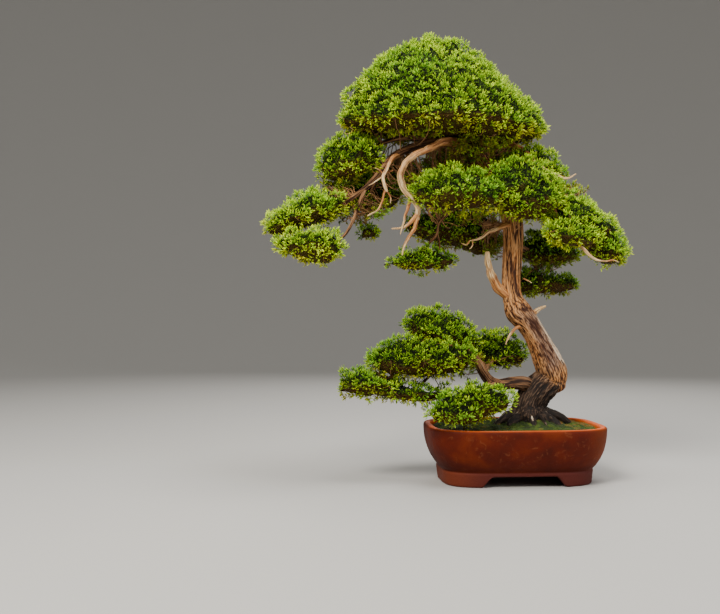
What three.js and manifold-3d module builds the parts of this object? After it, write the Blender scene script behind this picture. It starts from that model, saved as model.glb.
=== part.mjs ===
// Procumbens juniper bonsai in an oblong clay pot. Millimetres, +Z up, show side along -Y.
// Everything is laid out from the middle of the pot's underside, and moved at the end so that the
// origin is the bottom centre of the whole tree's box.
import * as THREE from 'three';
import { ConvexHull } from 'three/addons/math/ConvexHull.js';
import { ImprovedNoise } from 'three/addons/math/ImprovedNoise.js';
import { mergeVertices } from 'three/addons/utils/BufferGeometryUtils.js';
import Module from 'manifold-3d';

const wasm = await Module();
wasm.setup();

// Pot: outline at the rim, and a profile given as insets from that outline at each height.
const potLength = 346;
const potWidth = 254;
const potHeight = 110;
const outlinePower = 3.7;
const outlineSteps = 24;
const footHeight = 28;
const footInset = 27;
const footWall = 21;
const floorLevel = 39;
const archWidthBelow = 162;
const archWidthAbove = 122;
const archHeight = 21;
const drainSpacing = 170;
const drainDiameter = 26;

// Soil and screens
const touchGap = 0.3;
const wallGap = 0.5;
const soilEdgeLevel = 102;
const soilMound = 16;
const moundReach = 62;
const mossRoll = 4;
const trunkFoot = new THREE.Vector2(35, 2);
const collarRadius = 40;
const screenSize = 46;
const screenThickness = 1.2;
const screenMesh = 14;
const screenBar = 5;

// Foliage: each mound carries leafy shoots, one on every facet of its surface.
const shootPitch = 22.34;
const shootLength = 18;
const longestShoot = 1.25;
const undersideShare = 0.55;
const lumpHeight = 15;
const lumpSize = 46;
const domePower = 1.58;
const bellyPower = 2.3;
const padGap = 11;
const woodGap = 0.5;

const clay = { color: 0x9c4526, roughness: 0.75, metalness: 0 };
const mossyEarth = { color: 0x434a22, roughness: 0.95, metalness: 0 };
const plasticMesh = { color: 0x22252a, roughness: 0.6, metalness: 0 };
const bark = { color: 0x8a5a3c, roughness: 0.85, metalness: 0 };
const leaf = { color: 0x6d8f35, roughness: 0.7, metalness: 0 };

// Main stem: a base that leans right and a trunk that turns back over it, as [x, y, z, radius].
const stemBase = [
  [36, 2, 68, 24], [35, 2, 98, 36], [34, 2, 127, 40], [36, 2, 149, 31],
  [48, 2, 170, 31], [65, 2, 188, 30], [78, 2, 200, 26],
];
const stem = [
  [86, 0, 182, 20], [80, 0, 204, 28], [70, 0, 232, 27.5], [57, -2, 260, 24], [44, -3, 285, 22],
  [28, -3, 311, 23], [10, 0, 333, 26], [1, 4, 356, 20.5], [-2, 8, 390, 19], [0, 9, 430, 19.5],
  [2, 8, 469, 20], [0, 8, 509, 20.5], [-10, 9, 546, 19], [-30, 8, 586, 17.5], [-53, 5, 625, 16],
  [-77, 2, 663, 14], [-101, -2, 703, 12], [-125, -7, 750, 9.5], [-144, -11, 790, 6],
];

// Live branches
const branches = [
  // low branch, which leaves the base to the left and rises into the lower pads
  [[38, 4, 182, 15], [21, -4, 189, 14], [-7, -8, 190, 12.5], [-33, -12, 188, 11.5], [-51, -15, 197, 10.5],
    [-64, -18, 214, 9.5], [-75, -20, 233, 8.5], [-93, -22, 251, 7.5], [-127, -25, 262, 6.5],
    [-166, -25, 266, 4]],
  [[-114, -24, 258, 5.5], [-135, -10, 281, 4.5], [-148, 5, 304, 3]],
  [[-136, -25, 262, 5.5], [-181, -25, 238, 4.5], [-228, -22, 211, 3.5], [-268, -20, 198, 2.5]],
  [[-64, -18, 214, 7], [-47, 20, 223, 6], [-30, 56, 233, 5], [-18, 82, 246, 3]],
  [[-40, -12, 191, 7], [-62, -45, 186, 6], [-82, -72, 176, 4.5], [-96, -90, 162, 3]],
  [[-127, -25, 262, 5], [-150, -28, 233, 4], [-178, -30, 200, 3], [-198, -30, 182, 2.5]],
  // long left branch of the upper half
  [[-58, 4, 642, 13], [-86, -4, 656, 12], [-122, -10, 662, 11], [-165, -15, 660, 10], [-205, -18, 650, 8.5],
    [-240, -18, 632, 7.4], [-262, -18, 608, 6.4], [-290, -17, 575, 5.6], [-325, -15, 549, 4.8],
    [-369, -12, 518, 4],
    [-408, -10, 508, 2.5]],
  [[-296, -17, 566, 4.5], [-310, -20, 530, 3.8], [-322, -26, 500, 3.2], [-338, -32, 476, 2.8],
    [-371, -36, 458, 2.2]],
  [[-150, -12, 658, 7], [-188, -8, 670, 6], [-226, -6, 670, 5], [-266, -4, 658, 4], [-299, -2, 641, 3.2],
    [-332, -5, 622, 2.4]],
  // hanging branch below the middle
  [[-80, -52, 568, 4.5], [-113, -42, 542, 3.8], [-139, -25, 518, 3.2], [-151, -8, 500, 3], [-152, 0, 485, 3],
    [-168, 5, 465, 2.6], [-187, 8, 446, 2.2]],
  [[-152, 0, 487, 2.6], [-146, 5, 462, 2.4], [-152, 10, 438, 2]],
  // right branches
  [[-4, 6, 530, 12], [12, 2, 552, 10], [31, -5, 558, 9], [62, -10, 549, 7.5], [95, -10, 528, 6],
    [131, -8, 503, 4.5], [162, -4, 480, 3]],
  [[-58, 6, 620, 9], [-29, 6, 648, 7.5], [-1, 8, 654, 6], [31, 10, 642, 4.5], [62, 10, 625, 3]],
  [[95, -10, 528, 4.5], [102, -40, 506, 3.5], [96, -68, 480, 2.5]],
  // forward and rear branches
  [[-26, 8, 580, 9], [-52, -20, 580, 7], [-87, -52, 571, 5.5], [-118, -76, 564, 3.5], [-156, -84, 566, 2.5]],
  [[-10, 8, 554, 8], [-7, -14, 572, 5.5], [-8, -36, 582, 3.5]],
  [[0, 8, 494, 8], [-24, 40, 506, 6.5], [-52, 72, 509, 5], [-82, 92, 506, 3]],
  [[-46, 64, 509, 4], [-101, 78, 518, 3.4], [-138, 80, 518, 2.4]],
  [[2, 8, 450, 8], [24, 40, 460, 7], [52, 68, 454, 5], [78, 86, 444, 3]],
  [[46, 62, 456, 4.5], [62, 78, 428, 3.6], [72, 86, 408, 2.6]],
  [[-46, 8, 612, 8], [-56, 60, 638, 6.5], [-64, 105, 647, 5], [-70, 138, 652, 3]],
  [[-12, 8, 546, 8], [16, 48, 572, 6.5], [45, 84, 585, 5], [66, 106, 586, 3]],
  [[-200, -17, 650, 6], [-226, 26, 648, 5], [-242, 66, 640, 4], [-250, 100, 626, 2.6]],
  [[-264, -18, 606, 5], [-276, 18, 588, 4], [-286, 46, 576, 3.2], [-290, 60, 568, 2.4]],
  [[-266, -16, 603, 4], [-282, 24, 558, 3.2], [-288, 54, 508, 2.4]],
];

// Bare dead branches, kept on the tree: the curved one at the left, its forks, and the spurs.
const deadBranches = [
  [[-92, -6, 655, 9], [-120, -22, 661, 8.4], [-148, -38, 658, 7.8], [-173, -50, 645, 7.2],
    [-200, -60, 631, 6.8],
    [-222, -66, 613, 6.4], [-231, -68, 594, 6.1], [-228, -68, 570, 5.9], [-213, -68, 548, 5.8],
    [-199, -66, 526, 5.2],
    [-199, -65, 507, 4.6]],
  [[-198, -65, 512, 4.8], [-205, -63, 490, 3.9], [-214, -60, 473, 3.2], [-223, -58, 457, 2.6],
    [-227, -56, 440, 1.5]],
  [[-198, -66, 517, 4], [-211, -68, 504, 3.2], [-226, -70, 490, 2.6], [-248, -72, 489, 1.2]],
  [[-211, -68, 545, 3.6], [-219, -70, 524, 2.8], [-225, -71, 505, 2.2], [-232, -73, 479, 1.1]],
  [[-230, -19, 637, 4.8], [-245, -35, 626, 4.4], [-255, -44, 608, 4.1], [-262, -51, 585, 3.8],
    [-257, -54, 561, 3]],
  [[-258, -53, 566, 2.8], [-265, -57, 543, 2.4], [-273, -59, 526, 2], [-294, -63, 514, 1.1]],
  [[-258, -53, 564, 2.4], [-249, -53, 551, 2], [-250, -52, 538, 1.1]],
  [[-34, 6, 650, 6], [-6, 2, 662, 5], [26, -10, 646, 4.4], [38, -20, 626, 4], [56, -30, 609, 3.4],
    [78, -35, 598, 3], [97, -38, 591, 2.4], [115, -38, 599, 1.2]],
  [[79, -10, 536, 5], [87, -30, 496, 4.4], [102, -50, 476, 4], [112, -75, 460, 3.6], [125, -85, 443, 3],
    [141, -85, 431, 2.4], [166, -80, 428, 1.3]],
  [[0, 4, 504, 6], [-22, -18, 500, 4.4], [-39, -28, 493, 3.8], [-58, -36, 484, 3.2], [-78, -44, 472, 2.4],
    [-96, -48, 468, 1.3]],
  [[2, 4, 352, 8], [-18, -4, 366, 8.4], [-33, -9, 380, 8.8], [-45, -14, 401, 8], [-51, -17, 420, 6.2],
    [-56, -18, 447, 4.4]],
  [[28, 0, 311, 7], [40, -5, 328, 4.6], [52, -8, 337, 3.8], [63, -9, 341, 1.8]],
  [[20, -8, 306, 4.6], [4, -15, 299, 3.2], [-10, -18, 286, 2.3], [-19, -20, 268, 1.1]],
];

// Surface roots: bearing from +X in degrees, reach from the foot of the trunk, thickness and arch.
const roots = [
  { bearing: -10, reach: 92, radius: 11, arch: 11 },
  { bearing: -50, reach: 84, radius: 10, arch: 4 },
  { bearing: -92, reach: 72, radius: 10, arch: 2 },
  { bearing: -136, reach: 84, radius: 10, arch: 3 },
  { bearing: -172, reach: 90, radius: 12, arch: 5 },
  { bearing: 135, reach: 80, radius: 11, arch: 2 },
  { bearing: 84, reach: 72, radius: 10, arch: 3 },
  { bearing: 36, reach: 84, radius: 10, arch: 4 },
];

// Foliage pads, front ones first. A mound is [x, y, z, half length, half depth, rise, drop, lean]:
// x, y, z is the middle of its widest level, and a positive lean lowers its right end, in degrees.
const pads = [
  { name: 'foliage_crown', mounds: [[-162, 5, 700, 187, 138, 170, 40, 0],
    [-44, 12, 690, 114, 104, 92, 40, 0]] },
  { name: 'foliage_front', mounds: [[-130, -90, 552, 98, 50, 54, 46, 0], [6, -52, 562, 84, 54, 78, 64, 10]] },
  { name: 'foliage_right', mounds: [[126, -10, 508, 112, 66, 54, 48, 31],
    [96, -68, 472, 66, 44, 34, 30, 12], [182, -20, 446, 54, 46, 36, 36, 14]] },
  { name: 'foliage_right_upper', mounds: [[36, 22, 628, 92, 58, 46, 42, 22]] },
  { name: 'foliage_left_upper', mounds: [[-322, 6, 628, 78, 60, 60, 47, -22]] },
  { name: 'foliage_left_tip', mounds: [[-410, -8, 520, 98, 56, 46, 42, -24]] },
  { name: 'foliage_left_low', mounds: [[-402, -38, 460, 76, 52, 42, 46, 0]] },
  { name: 'foliage_left_inner', mounds: [[-286, 66, 566, 80, 52, 56, 48, 0]] },
  { name: 'foliage_left_hanging', mounds: [[-284, 62, 494, 36, 36, 30, 30, 0]] },
  { name: 'foliage_hanging', mounds: [[-178, 12, 430, 76, 48, 35, 35, -4]] },
  { name: 'foliage_back_middle', mounds: [[-104, 94, 506, 112, 54, 52, 44, 0],
    [-50, 92, 474, 60, 44, 40, 36, 0]] },
  { name: 'foliage_back_right', mounds: [[88, 88, 454, 84, 52, 48, 38, 6]] },
  { name: 'foliage_back_right_low', mounds: [[78, 92, 386, 88, 52, 46, 36, 0]] },
  { name: 'foliage_rear', mounds: [[-56, 132, 638, 114, 60, 60, 52, 0]] },
  { name: 'foliage_rear_right', mounds: [[76, 116, 578, 94, 58, 56, 48, 8]] },
  { name: 'foliage_rear_left', mounds: [[-250, 104, 606, 100, 58, 48, 44, -8]] },
  { name: 'foliage_low_front', mounds: [[-102, -94, 151, 90, 48, 54, 40, -8]] },
  { name: 'foliage_low_apex', mounds: [[-145, 14, 288, 88, 54, 54, 42, 16]] },
  { name: 'foliage_low_middle', mounds: [[-184, -32, 243, 114, 60, 56, 50, -4]] },
  { name: 'foliage_low_tip', mounds: [[-264, -18, 197, 102, 54, 44, 38, -8],
    [-201, -30, 176, 80, 50, 36, 34, 0]] },
  { name: 'foliage_low_back', mounds: [[-28, 86, 246, 88, 54, 52, 38, 10]] },
];

const noise = new ImprovedNoise();

// Closed solids from plain geometry

function solidFrom(positions, triangles) {
  const geometry = new THREE.BufferGeometry();
  geometry.setAttribute('position', new THREE.Float32BufferAttribute(positions, 3));
  geometry.setIndex(triangles);
  return solidFromGeometry(geometry);
}

function solidFromGeometry(geometry) {
  geometry.deleteAttribute('normal');
  geometry.deleteAttribute('uv');
  const merged = mergeVertices(geometry, 1e-4);
  const mesh = new wasm.Mesh({
    numProp: 3,
    vertProperties: Float32Array.from(merged.attributes.position.array),
    triVerts: Uint32Array.from(merged.index.array),
  });
  return new wasm.Manifold(mesh);
}

// A skin through rings of equal count, closed by a middle point at each end
function loft(rings) {
  const count = rings[0].length;
  const lastRing = (rings.length - 1) * count;
  const startPoint = rings.length * count;
  const endPoint = startPoint + 1;
  const positions = [...rings.flat(), middleOf(rings[0]), middleOf(rings.at(-1))].flatMap((point) => point.toArray());
  const triangles = [];
  for (let side = 0; side < count; side++) {
    const beside = (side + 1) % count;
    for (let here = 0; here < lastRing; here += count) {
      const next = here + count;
      triangles.push(here + side, here + beside, next + beside, here + side, next + beside, next + side);
    }
    triangles.push(startPoint, beside, side, endPoint, lastRing + side, lastRing + beside);
  }
  return solidFrom(positions, triangles);
}

function middleOf(points) {
  const sum = new THREE.Vector3();
  points.forEach((point) => sum.add(point));
  return sum.divideScalar(points.length);
}

function union(solids) {
  return solids.reduce((total, solid) => total.add(solid));
}

function largestPiece(solid) {
  const pieces = solid.decompose();
  return pieces.reduce((largest, piece) => (piece.volume() > largest.volume() ? piece : largest));
}

function meshOf(name, solid, finish) {
  const { vertProperties, triVerts } = solid.getMesh();
  const geometry = new THREE.BufferGeometry();
  geometry.setAttribute('position', new THREE.BufferAttribute(vertProperties, 3));
  geometry.setIndex(new THREE.BufferAttribute(triVerts, 1));
  geometry.computeVertexNormals();
  const mesh = new THREE.Mesh(geometry, new THREE.MeshStandardMaterial(finish));
  mesh.name = name;
  return mesh;
}

// Pot

// Rim outline, a superellipse, drawn inwards by an inset and set at a height.
function outlineRing(inset, level) {
  const halfLength = potLength / 2 - inset;
  const halfWidth = potWidth / 2 - inset;
  const ring = [];
  for (let step = 0; step < outlineSteps; step++) {
    const turn = (step / outlineSteps) * Math.PI * 2;
    const bearing = Math.atan2(halfWidth * Math.sin(turn), halfLength * Math.cos(turn));
    const across = Math.abs(Math.cos(bearing) / halfLength) ** outlinePower;
    const along = Math.abs(Math.sin(bearing) / halfWidth) ** outlinePower;
    const reach = (across + along) ** (-1 / outlinePower);
    ring.push(new THREE.Vector3(reach * Math.cos(bearing), reach * Math.sin(bearing), level));
  }
  return ring;
}

// Inner wall as [inset, height], from the rim down to the floor.
const innerWall = [[13.4, 104], [14.5, 79], [20, 57], [31, 43.5], [42, floorLevel]];

function buildPot() {
  const underside = [[footInset + footWall, footHeight - 3], [footInset + footWall, 0]];
  const outerWall = [
    [footInset, 0], [footInset - 3, footHeight - 2], [25, footHeight + 2], [19, 37], [11.5, 50], [4, 70],
    [0.6, 91],
    [0, 104],
  ];
  const rim = [[1.6, potHeight - 1.4], [5, potHeight], [9, potHeight], [12.2, potHeight - 1.6]];
  const profile = [...underside, ...outerWall, ...rim, ...innerWall];
  const body = loft(profile.map(([inset, level]) => outlineRing(inset, level)));
  return body.subtract(archCutter()).subtract(union(drainSides.map(drainCutter)));
}

// The gap between the two feet, right through from front to back
function archCutter() {
  const arch = new THREE.Shape([
    new THREE.Vector2(-archWidthBelow / 2, -1),
    new THREE.Vector2(archWidthBelow / 2, -1),
    new THREE.Vector2(archWidthAbove / 2, archHeight),
    new THREE.Vector2(-archWidthAbove / 2, archHeight),
  ]);
  const geometry = new THREE.ExtrudeGeometry(arch, { depth: potWidth, bevelEnabled: false });
  geometry.translate(0, 0, -potWidth / 2);
  geometry.rotateX(Math.PI / 2);
  return solidFromGeometry(geometry);
}

function drainCutter(side) {
  const drain = new THREE.CylinderGeometry(drainDiameter / 2, drainDiameter / 2, floorLevel, 16);
  drain.rotateX(Math.PI / 2);
  drain.translate((side * drainSpacing) / 2, 0, footHeight + floorLevel / 2 - 6);
  return solidFromGeometry(drain);
}

// A square of plastic mesh that lies over a drainage hole
function buildScreen(side) {
  const pitch = screenMesh + screenBar;
  const middle = floorLevel + touchGap + screenThickness / 2;
  const plate = boxSolid(screenSize, screenThickness, (side * drainSpacing) / 2, 0, middle);
  const openings = drainSides.flatMap((column) => drainSides.map((row) => {
    const x = (side * drainSpacing + column * pitch) / 2;
    return boxSolid(screenMesh, 3 * screenThickness, x, (row * pitch) / 2, middle);
  }));
  return plate.subtract(union(openings));
}

function boxSolid(width, height, x, y, z) {
  const box = new THREE.BoxGeometry(width, width, height);
  box.translate(x, y, z);
  return solidFromGeometry(box);
}

// Soil and its mossy top. Share 0 of the surface is a collar round the foot of the trunk, share 1 the pot's wall.
const bedShares = [1, 0.9, 0.64, 0.32, 0];

function soilRing(share) {
  const wall = outlineRing(innerWall[0][0] + wallGap, 0);
  return wall.map((rimPoint, step) => {
    const turn = (step / outlineSteps) * Math.PI * 2;
    const x = THREE.MathUtils.lerp(trunkFoot.x + collarRadius * Math.cos(turn), rimPoint.x, share);
    const y = THREE.MathUtils.lerp(trunkFoot.y + collarRadius * Math.sin(turn), rimPoint.y, share);
    return new THREE.Vector3(x, y, soilLevel(x, y, share));
  });
}

function soilLevel(x, y, share = 0.5) {
  const away = Math.hypot(x - trunkFoot.x, y - trunkFoot.y) / moundReach;
  const rolled = mossRoll * (1 - share ** 8);
  return soilEdgeLevel + soilMound * Math.exp(-away * away) + rolled * (1 + 0.5 * noise.noise(x / 22, y / 22, 3.5));
}

function buildSoil(wood) {
  const sides = innerWall.slice(1).reverse().map(([inset, level]) => {
    const clearance = level === floorLevel ? touchGap : 0;
    return outlineRing(inset + wallGap, level + clearance);
  });
  const recesses = drainSides.map((side) => boxSolid(
    screenSize + 2 * touchGap, 2 * (screenThickness + 2 * touchGap), (side * drainSpacing) / 2, 0, floorLevel));
  const body = loft([...sides, ...bedShares.map(soilRing)]);
  return largestPiece(body.subtract(union(recesses)).subtract(wood));
}

// Wood

// A limb swept along [x, y, z, radius] points, round-ended. A fluted limb has long twisting ridges.
function limb(points, { sides, grow = 0, flute = 0 }) {
  const curve = new THREE.CatmullRomCurve3(points.map(([x, y, z]) => new THREE.Vector3(x, y, z)), false, 'centripetal');
  const last = points.length - 1;
  let across = new THREE.Vector3(0, 1, 0);
  const rings = points.map(([, , , radius], index) => {
    const forward = curve.getTangent(index / last);
    across = across.clone().addScaledVector(forward, -across.dot(forward)).normalize();
    const beside = forward.clone().cross(across);
    const middle = curve.getPoint(index / last);
    return Array.from({ length: sides }, (_, side) => {
      const turn = (side / sides) * Math.PI * 2;
      const ridge = Math.cos(4 * turn + 0.5 * index) + 0.6 * Math.cos(3 * turn - 0.8 * index);
      const reach = radius * (1 + flute * ridge) + grow;
      return middle.clone()
        .addScaledVector(across, reach * Math.cos(turn))
        .addScaledVector(beside, reach * Math.sin(turn));
    });
  });
  rings.unshift(shrunk(rings[0], curve.getPoint(0), curve.getTangent(0), -points[0][3]));
  rings.push(shrunk(rings.at(-1), curve.getPoint(1), curve.getTangent(1), points[last][3]));
  return loft(rings);
}

// The rounded end of a limb: its last ring at half size, moved on by half a radius.
function shrunk(ring, middle, forward, radius) {
  return ring.map((point) => point.clone().lerp(middle, 0.5).addScaledVector(forward, radius * 0.5));
}

function rootPoints({ bearing, reach, radius, arch }) {
  const angle = THREE.MathUtils.degToRad(bearing);
  const out = (share, z, size) => {
    const sway = 9 * Math.sin(bearing + 4 * share);
    const x = trunkFoot.x + reach * share * Math.cos(angle) - sway * share * Math.sin(angle);
    const y = trunkFoot.y + reach * share * Math.sin(angle) + sway * share * Math.cos(angle);
    return [x, y, z + soilLevel(x, y), size];
  };
  return [
    out(0.12, 15, radius),
    out(0.42, 4 + arch, radius * 0.95),
    out(0.72, arch * 0.6, radius * 0.75),
    out(1, -12, radius * 0.4),
  ];
}

function buildWood(grow) {
  const limbs = [...branches, ...deadBranches].map((points) => limb(points, { sides: sidesFor(points[0][3]), grow }));
  const surfaceRoots = roots.map((root) => limb(rootPoints(root), { sides: 5, grow }));
  return largestPiece(union([
    limb(stemBase, { sides: 13, grow, flute: 0.07 }),
    limb(stem, { sides: 12, grow, flute: 0.05 }),
    ...limbs,
    ...surfaceRoots,
  ]));
}

function sidesFor(radius) {
  if (radius > 8) {
    return 6;
  }
  return radius > 4.2 ? 5 : 4;
}

// Foliage

const leanAxis = new THREE.Vector3(0, 1, 0);

// Directions spread evenly round a spiral; more of them look up than down.
function spiralDirections(count) {
  const upwardShare = 0.66;
  const flattening = 0.74;
  const goldenAngle = Math.PI * (3 - Math.sqrt(5));
  const directions = [];
  for (let index = 0; index < count; index++) {
    const share = (index + 0.5) / count;
    const upward = share < upwardShare;
    const climb = upward ? 1 - share / upwardShare : (share - upwardShare) / (1 - upwardShare);
    const z = (upward ? 1 : -1) * climb ** flattening;
    const around = Math.sqrt(1 - z * z);
    directions.push(new THREE.Vector3(
      around * Math.cos(index * goldenAngle), around * Math.sin(index * goldenAngle), z));
  }
  return directions;
}

// One mound of leafy shoots: a lumpy dome with a flatter underside, and a shoot standing on each facet.
// Its envelope is the same dome drawn out past the longest shoot, without the shoots.
function mound([x, y, z, ...outerSizes], seed, envelope = false) {
  const lean = THREE.MathUtils.degToRad(outerSizes.pop());
  const [halfLength, halfDepth, rise, drop] = outerSizes.map((size) => size - shootLength * 0.8);
  const area = domeArea(halfLength, halfDepth, (rise + drop) / 2);
  const directions = spiralDirections(Math.round(area / shootPitch ** 2 / 2) + 2);
  const place = (direction, extra) => {
    const point = new THREE.Vector3(
      direction.x * halfLength, direction.y * halfDepth, direction.z * (direction.z > 0 ? rise : drop));
    const power = direction.z > 0 ? domePower : bellyPower;
    const around = Math.hypot(direction.x, direction.y);
    point.multiplyScalar((around ** power + Math.abs(direction.z) ** power) ** (-1 / power));
    const lump = lumpHeight * noise.noise(point.x / lumpSize + seed, point.y / lumpSize, point.z / lumpSize);
    point.multiplyScalar(1 + (lump + extra) / point.length());
    return point.applyAxisAngle(leanAxis, lean).add(new THREE.Vector3(x, y, z));
  };
  const cornerExtra = envelope ? shootLength * longestShoot + padGap : 0;
  const positions = directions.flatMap((direction) => place(direction, cornerExtra).toArray());
  const indexOf = new Map(directions.map((direction, index) => [direction, index]));
  const triangles = [];
  new ConvexHull().setFromPoints(directions).faces.forEach((face, index) => {
    const points = facePoints(face);
    const corners = points.map((point) => indexOf.get(point));
    if (envelope) {
      triangles.push(...corners);
      return;
    }
    const draw = (part) => THREE.MathUtils.seededRandom(seed * 7919 + index * 13 + part);
    const tip = new THREE.Vector3();
    points.forEach((point, part) => tip.addScaledVector(point, 0.6 + draw(part)));
    tip.normalize();
    const vigour = THREE.MathUtils.lerp(0.75, longestShoot, draw(4)) * (tip.z > -0.1 ? 1 : undersideShare);
    const peak = positions.length / 3;
    positions.push(...place(tip, shootLength * vigour).toArray());
    corners.forEach((corner, part) => triangles.push(corner, corners[(part + 1) % 3], peak));
  });
  return solidFrom(positions, triangles);
}

function domeArea(...half) {
  const power = 1.6;
  const [a, b, c] = half.map((size) => size ** power);
  return 4 * Math.PI * ((a * b + a * c + b * c) / 3) ** (1 / power);
}

function facePoints(face) {
  const points = [];
  let edge = face.edge;
  do {
    points.push(edge.head().point);
    edge = edge.next;
  } while (edge !== face.edge);
  return points;
}

function padSolid(pad, padIndex, envelope) {
  return union(pad.mounds.map((shape, index) => mound(shape, padIndex * 10 + index, envelope)));
}

// Each pad keeps clear of the wood that carries it and of the pads before it.
function buildPads(wood) {
  let taken = wood;
  return pads.map((pad, padIndex) => {
    const solid = largestPiece(padSolid(pad, padIndex, false).subtract(taken));
    taken = taken.add(padSolid(pad, padIndex, true));
    return meshOf(pad.name, solid, leaf);
  });
}

const drainSides = [-1, 1];
const grownWood = buildWood(woodGap);

const bonsai = new THREE.Group();
bonsai.add(meshOf('pot', buildPot(), clay));
bonsai.add(meshOf('soil', buildSoil(grownWood), mossyEarth));
bonsai.add(meshOf('trunk_and_branches', buildWood(0), bark));
drainSides.forEach((side) => {
  bonsai.add(meshOf(side < 0 ? 'drainage_screen_left' : 'drainage_screen_right', buildScreen(side), plasticMesh));
});
bonsai.add(...buildPads(grownWood));

// The origin goes to the bottom centre of the whole box.
const box = new THREE.Box3().setFromObject(bonsai);
bonsai.position.set(-(box.min.x + box.max.x) / 2, -(box.min.y + box.max.y) / 2, -box.min.z);

export default bonsai;
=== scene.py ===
import math
import bpy
import numpy as np
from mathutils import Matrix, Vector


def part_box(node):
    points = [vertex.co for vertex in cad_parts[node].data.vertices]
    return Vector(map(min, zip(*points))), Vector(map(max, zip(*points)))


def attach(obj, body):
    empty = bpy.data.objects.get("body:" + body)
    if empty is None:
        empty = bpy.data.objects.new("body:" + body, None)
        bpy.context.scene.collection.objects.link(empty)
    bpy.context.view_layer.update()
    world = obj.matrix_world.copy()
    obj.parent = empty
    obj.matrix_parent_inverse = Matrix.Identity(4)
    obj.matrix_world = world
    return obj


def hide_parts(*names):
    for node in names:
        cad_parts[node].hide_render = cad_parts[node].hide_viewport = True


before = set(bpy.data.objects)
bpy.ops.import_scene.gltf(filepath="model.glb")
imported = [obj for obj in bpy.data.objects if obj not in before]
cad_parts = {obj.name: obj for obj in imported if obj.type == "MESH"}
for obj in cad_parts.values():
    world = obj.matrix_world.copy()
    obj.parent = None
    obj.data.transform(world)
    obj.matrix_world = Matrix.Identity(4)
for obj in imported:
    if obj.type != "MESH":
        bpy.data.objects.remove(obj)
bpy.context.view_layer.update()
print("frame loaded:", len(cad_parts), "nodes")

# The tree is laid out from the middle of the pot's underside, in millimetres, as it was built.
potLow, potHigh = (np.array(corner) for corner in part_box("pot"))
potMiddle = np.array([(potLow[0] + potHigh[0]) / 2, (potLow[1] + potHigh[1]) / 2, 0.0])
millimetre = 0.001


def inFrame(points):
    return points * millimetre + potMiddle


def fromPot(points):
    return (points - potMiddle) / millimetre


# Numbers and vectors

def unit(vectors):
    return vectors / np.maximum(np.linalg.norm(vectors, axis=-1, keepdims=True), 1e-9)


# 0 below low, 1 above high, and 3t^2 - 2t^3 between them
def smoothStep(low, high, values):
    share = np.clip((values - low) / (high - low), 0, 1)
    return share * share * (3 - 2 * share)


# Even steps of a full turn, without its end
def fullTurn(steps):
    return np.linspace(0, 2 * math.pi, steps, endpoint=False)


# across cos turn + beside sin turn
def roundAbout(across, beside, turn):
    return across * np.cos(turn)[..., None] + beside * np.sin(turn)[..., None]


noiseDraw = np.random.default_rng(17)
noiseOrder = np.tile(noiseDraw.permutation(256), 3)
noisePush = unit(noiseDraw.normal(size=(256, 3)))


# Gradient noise: every lattice corner pushes along its own direction, faded by 6t^5 - 15t^4 + 10t^3
def noise(points):
    points = np.asarray(points, float)
    cell = np.floor(points).astype(int)
    part = points - cell
    fade = part ** 3 * (part * (part * 6 - 15) + 10)
    cell &= 255
    total = np.zeros(points.shape[:-1])
    for corner in np.ndindex(2, 2, 2):
        corner = np.array(corner)
        at = (cell + corner) & 255
        key = noiseOrder[noiseOrder[noiseOrder[at[..., 0]] + at[..., 1]] + at[..., 2]]
        weight = np.prod(np.where(corner, fade, 1 - fade), axis=-1)
        total += weight * np.sum(noisePush[key] * (part - corner), axis=-1)
    return total * 1.6


# The sum of noise(p 2^n) / 2^n
def layeredNoise(points, layers):
    return sum(noise(np.asarray(points) * 2 ** layer + layer * 7.3) / 2 ** layer for layer in range(layers))


# Sharp crests between soft hollows: 1 - 2|noise|
def ridgedNoise(points):
    return 1 - 2 * np.abs(noise(points))


# Meshes

# Quads of a grid of rows by columns, whose last column joins the first
def ringQuads(rows, columns):
    row, column = np.meshgrid(np.arange(rows - 1), np.arange(columns), indexing="ij")
    beside = (column + 1) % columns
    near, far = row * columns, (row + 1) * columns
    quads = [near + column, near + beside, far + beside, far + column]
    return np.stack(quads, axis=-1).reshape(-1, 4)


# Triangles that close the first and last ring of such a grid onto the two points that follow it
def poleTriangles(rows, columns):
    column = np.arange(columns)
    beside = (column + 1) % columns
    last = (rows - 1) * columns
    start = np.stack([np.full(columns, rows * columns), beside, column], axis=-1)
    end = np.stack([np.full(columns, rows * columns + 1), last + column, last + beside], axis=-1)
    return np.concatenate([start, end])


noQuads = np.zeros((0, 4), int)
noTriangles = np.zeros((0, 3), int)


# Values on a closed skin's points: the grid's own, and the two ends' means
def skinValues(values):
    ends = np.stack([values[0].mean(axis=0), values[-1].mean(axis=0)])
    return np.concatenate([values.reshape(-1, *values.shape[2:]), ends])


# A closed skin of rings, given as a grid of points from the pot, with a point at the middle of each end
def closedSkin(grid):
    rows, columns = grid.shape[:2]
    return {
        "points": inFrame(skinValues(grid)),
        "quads": ringQuads(rows, columns),
        "triangles": poleTriangles(rows, columns),
    }


# Several skins as one: points, quads, triangles and values joined, with the indices moved on
def joined(skins):
    counts = np.cumsum([0] + [len(skin["points"]) for skin in skins[:-1]])
    whole = {key: np.concatenate([skin[key] for skin in skins]) for key in skins[0]}
    for key in ("quads", "triangles"):
        whole[key] = np.concatenate([skin[key] + count for skin, count in zip(skins, counts)])
    return whole


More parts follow.
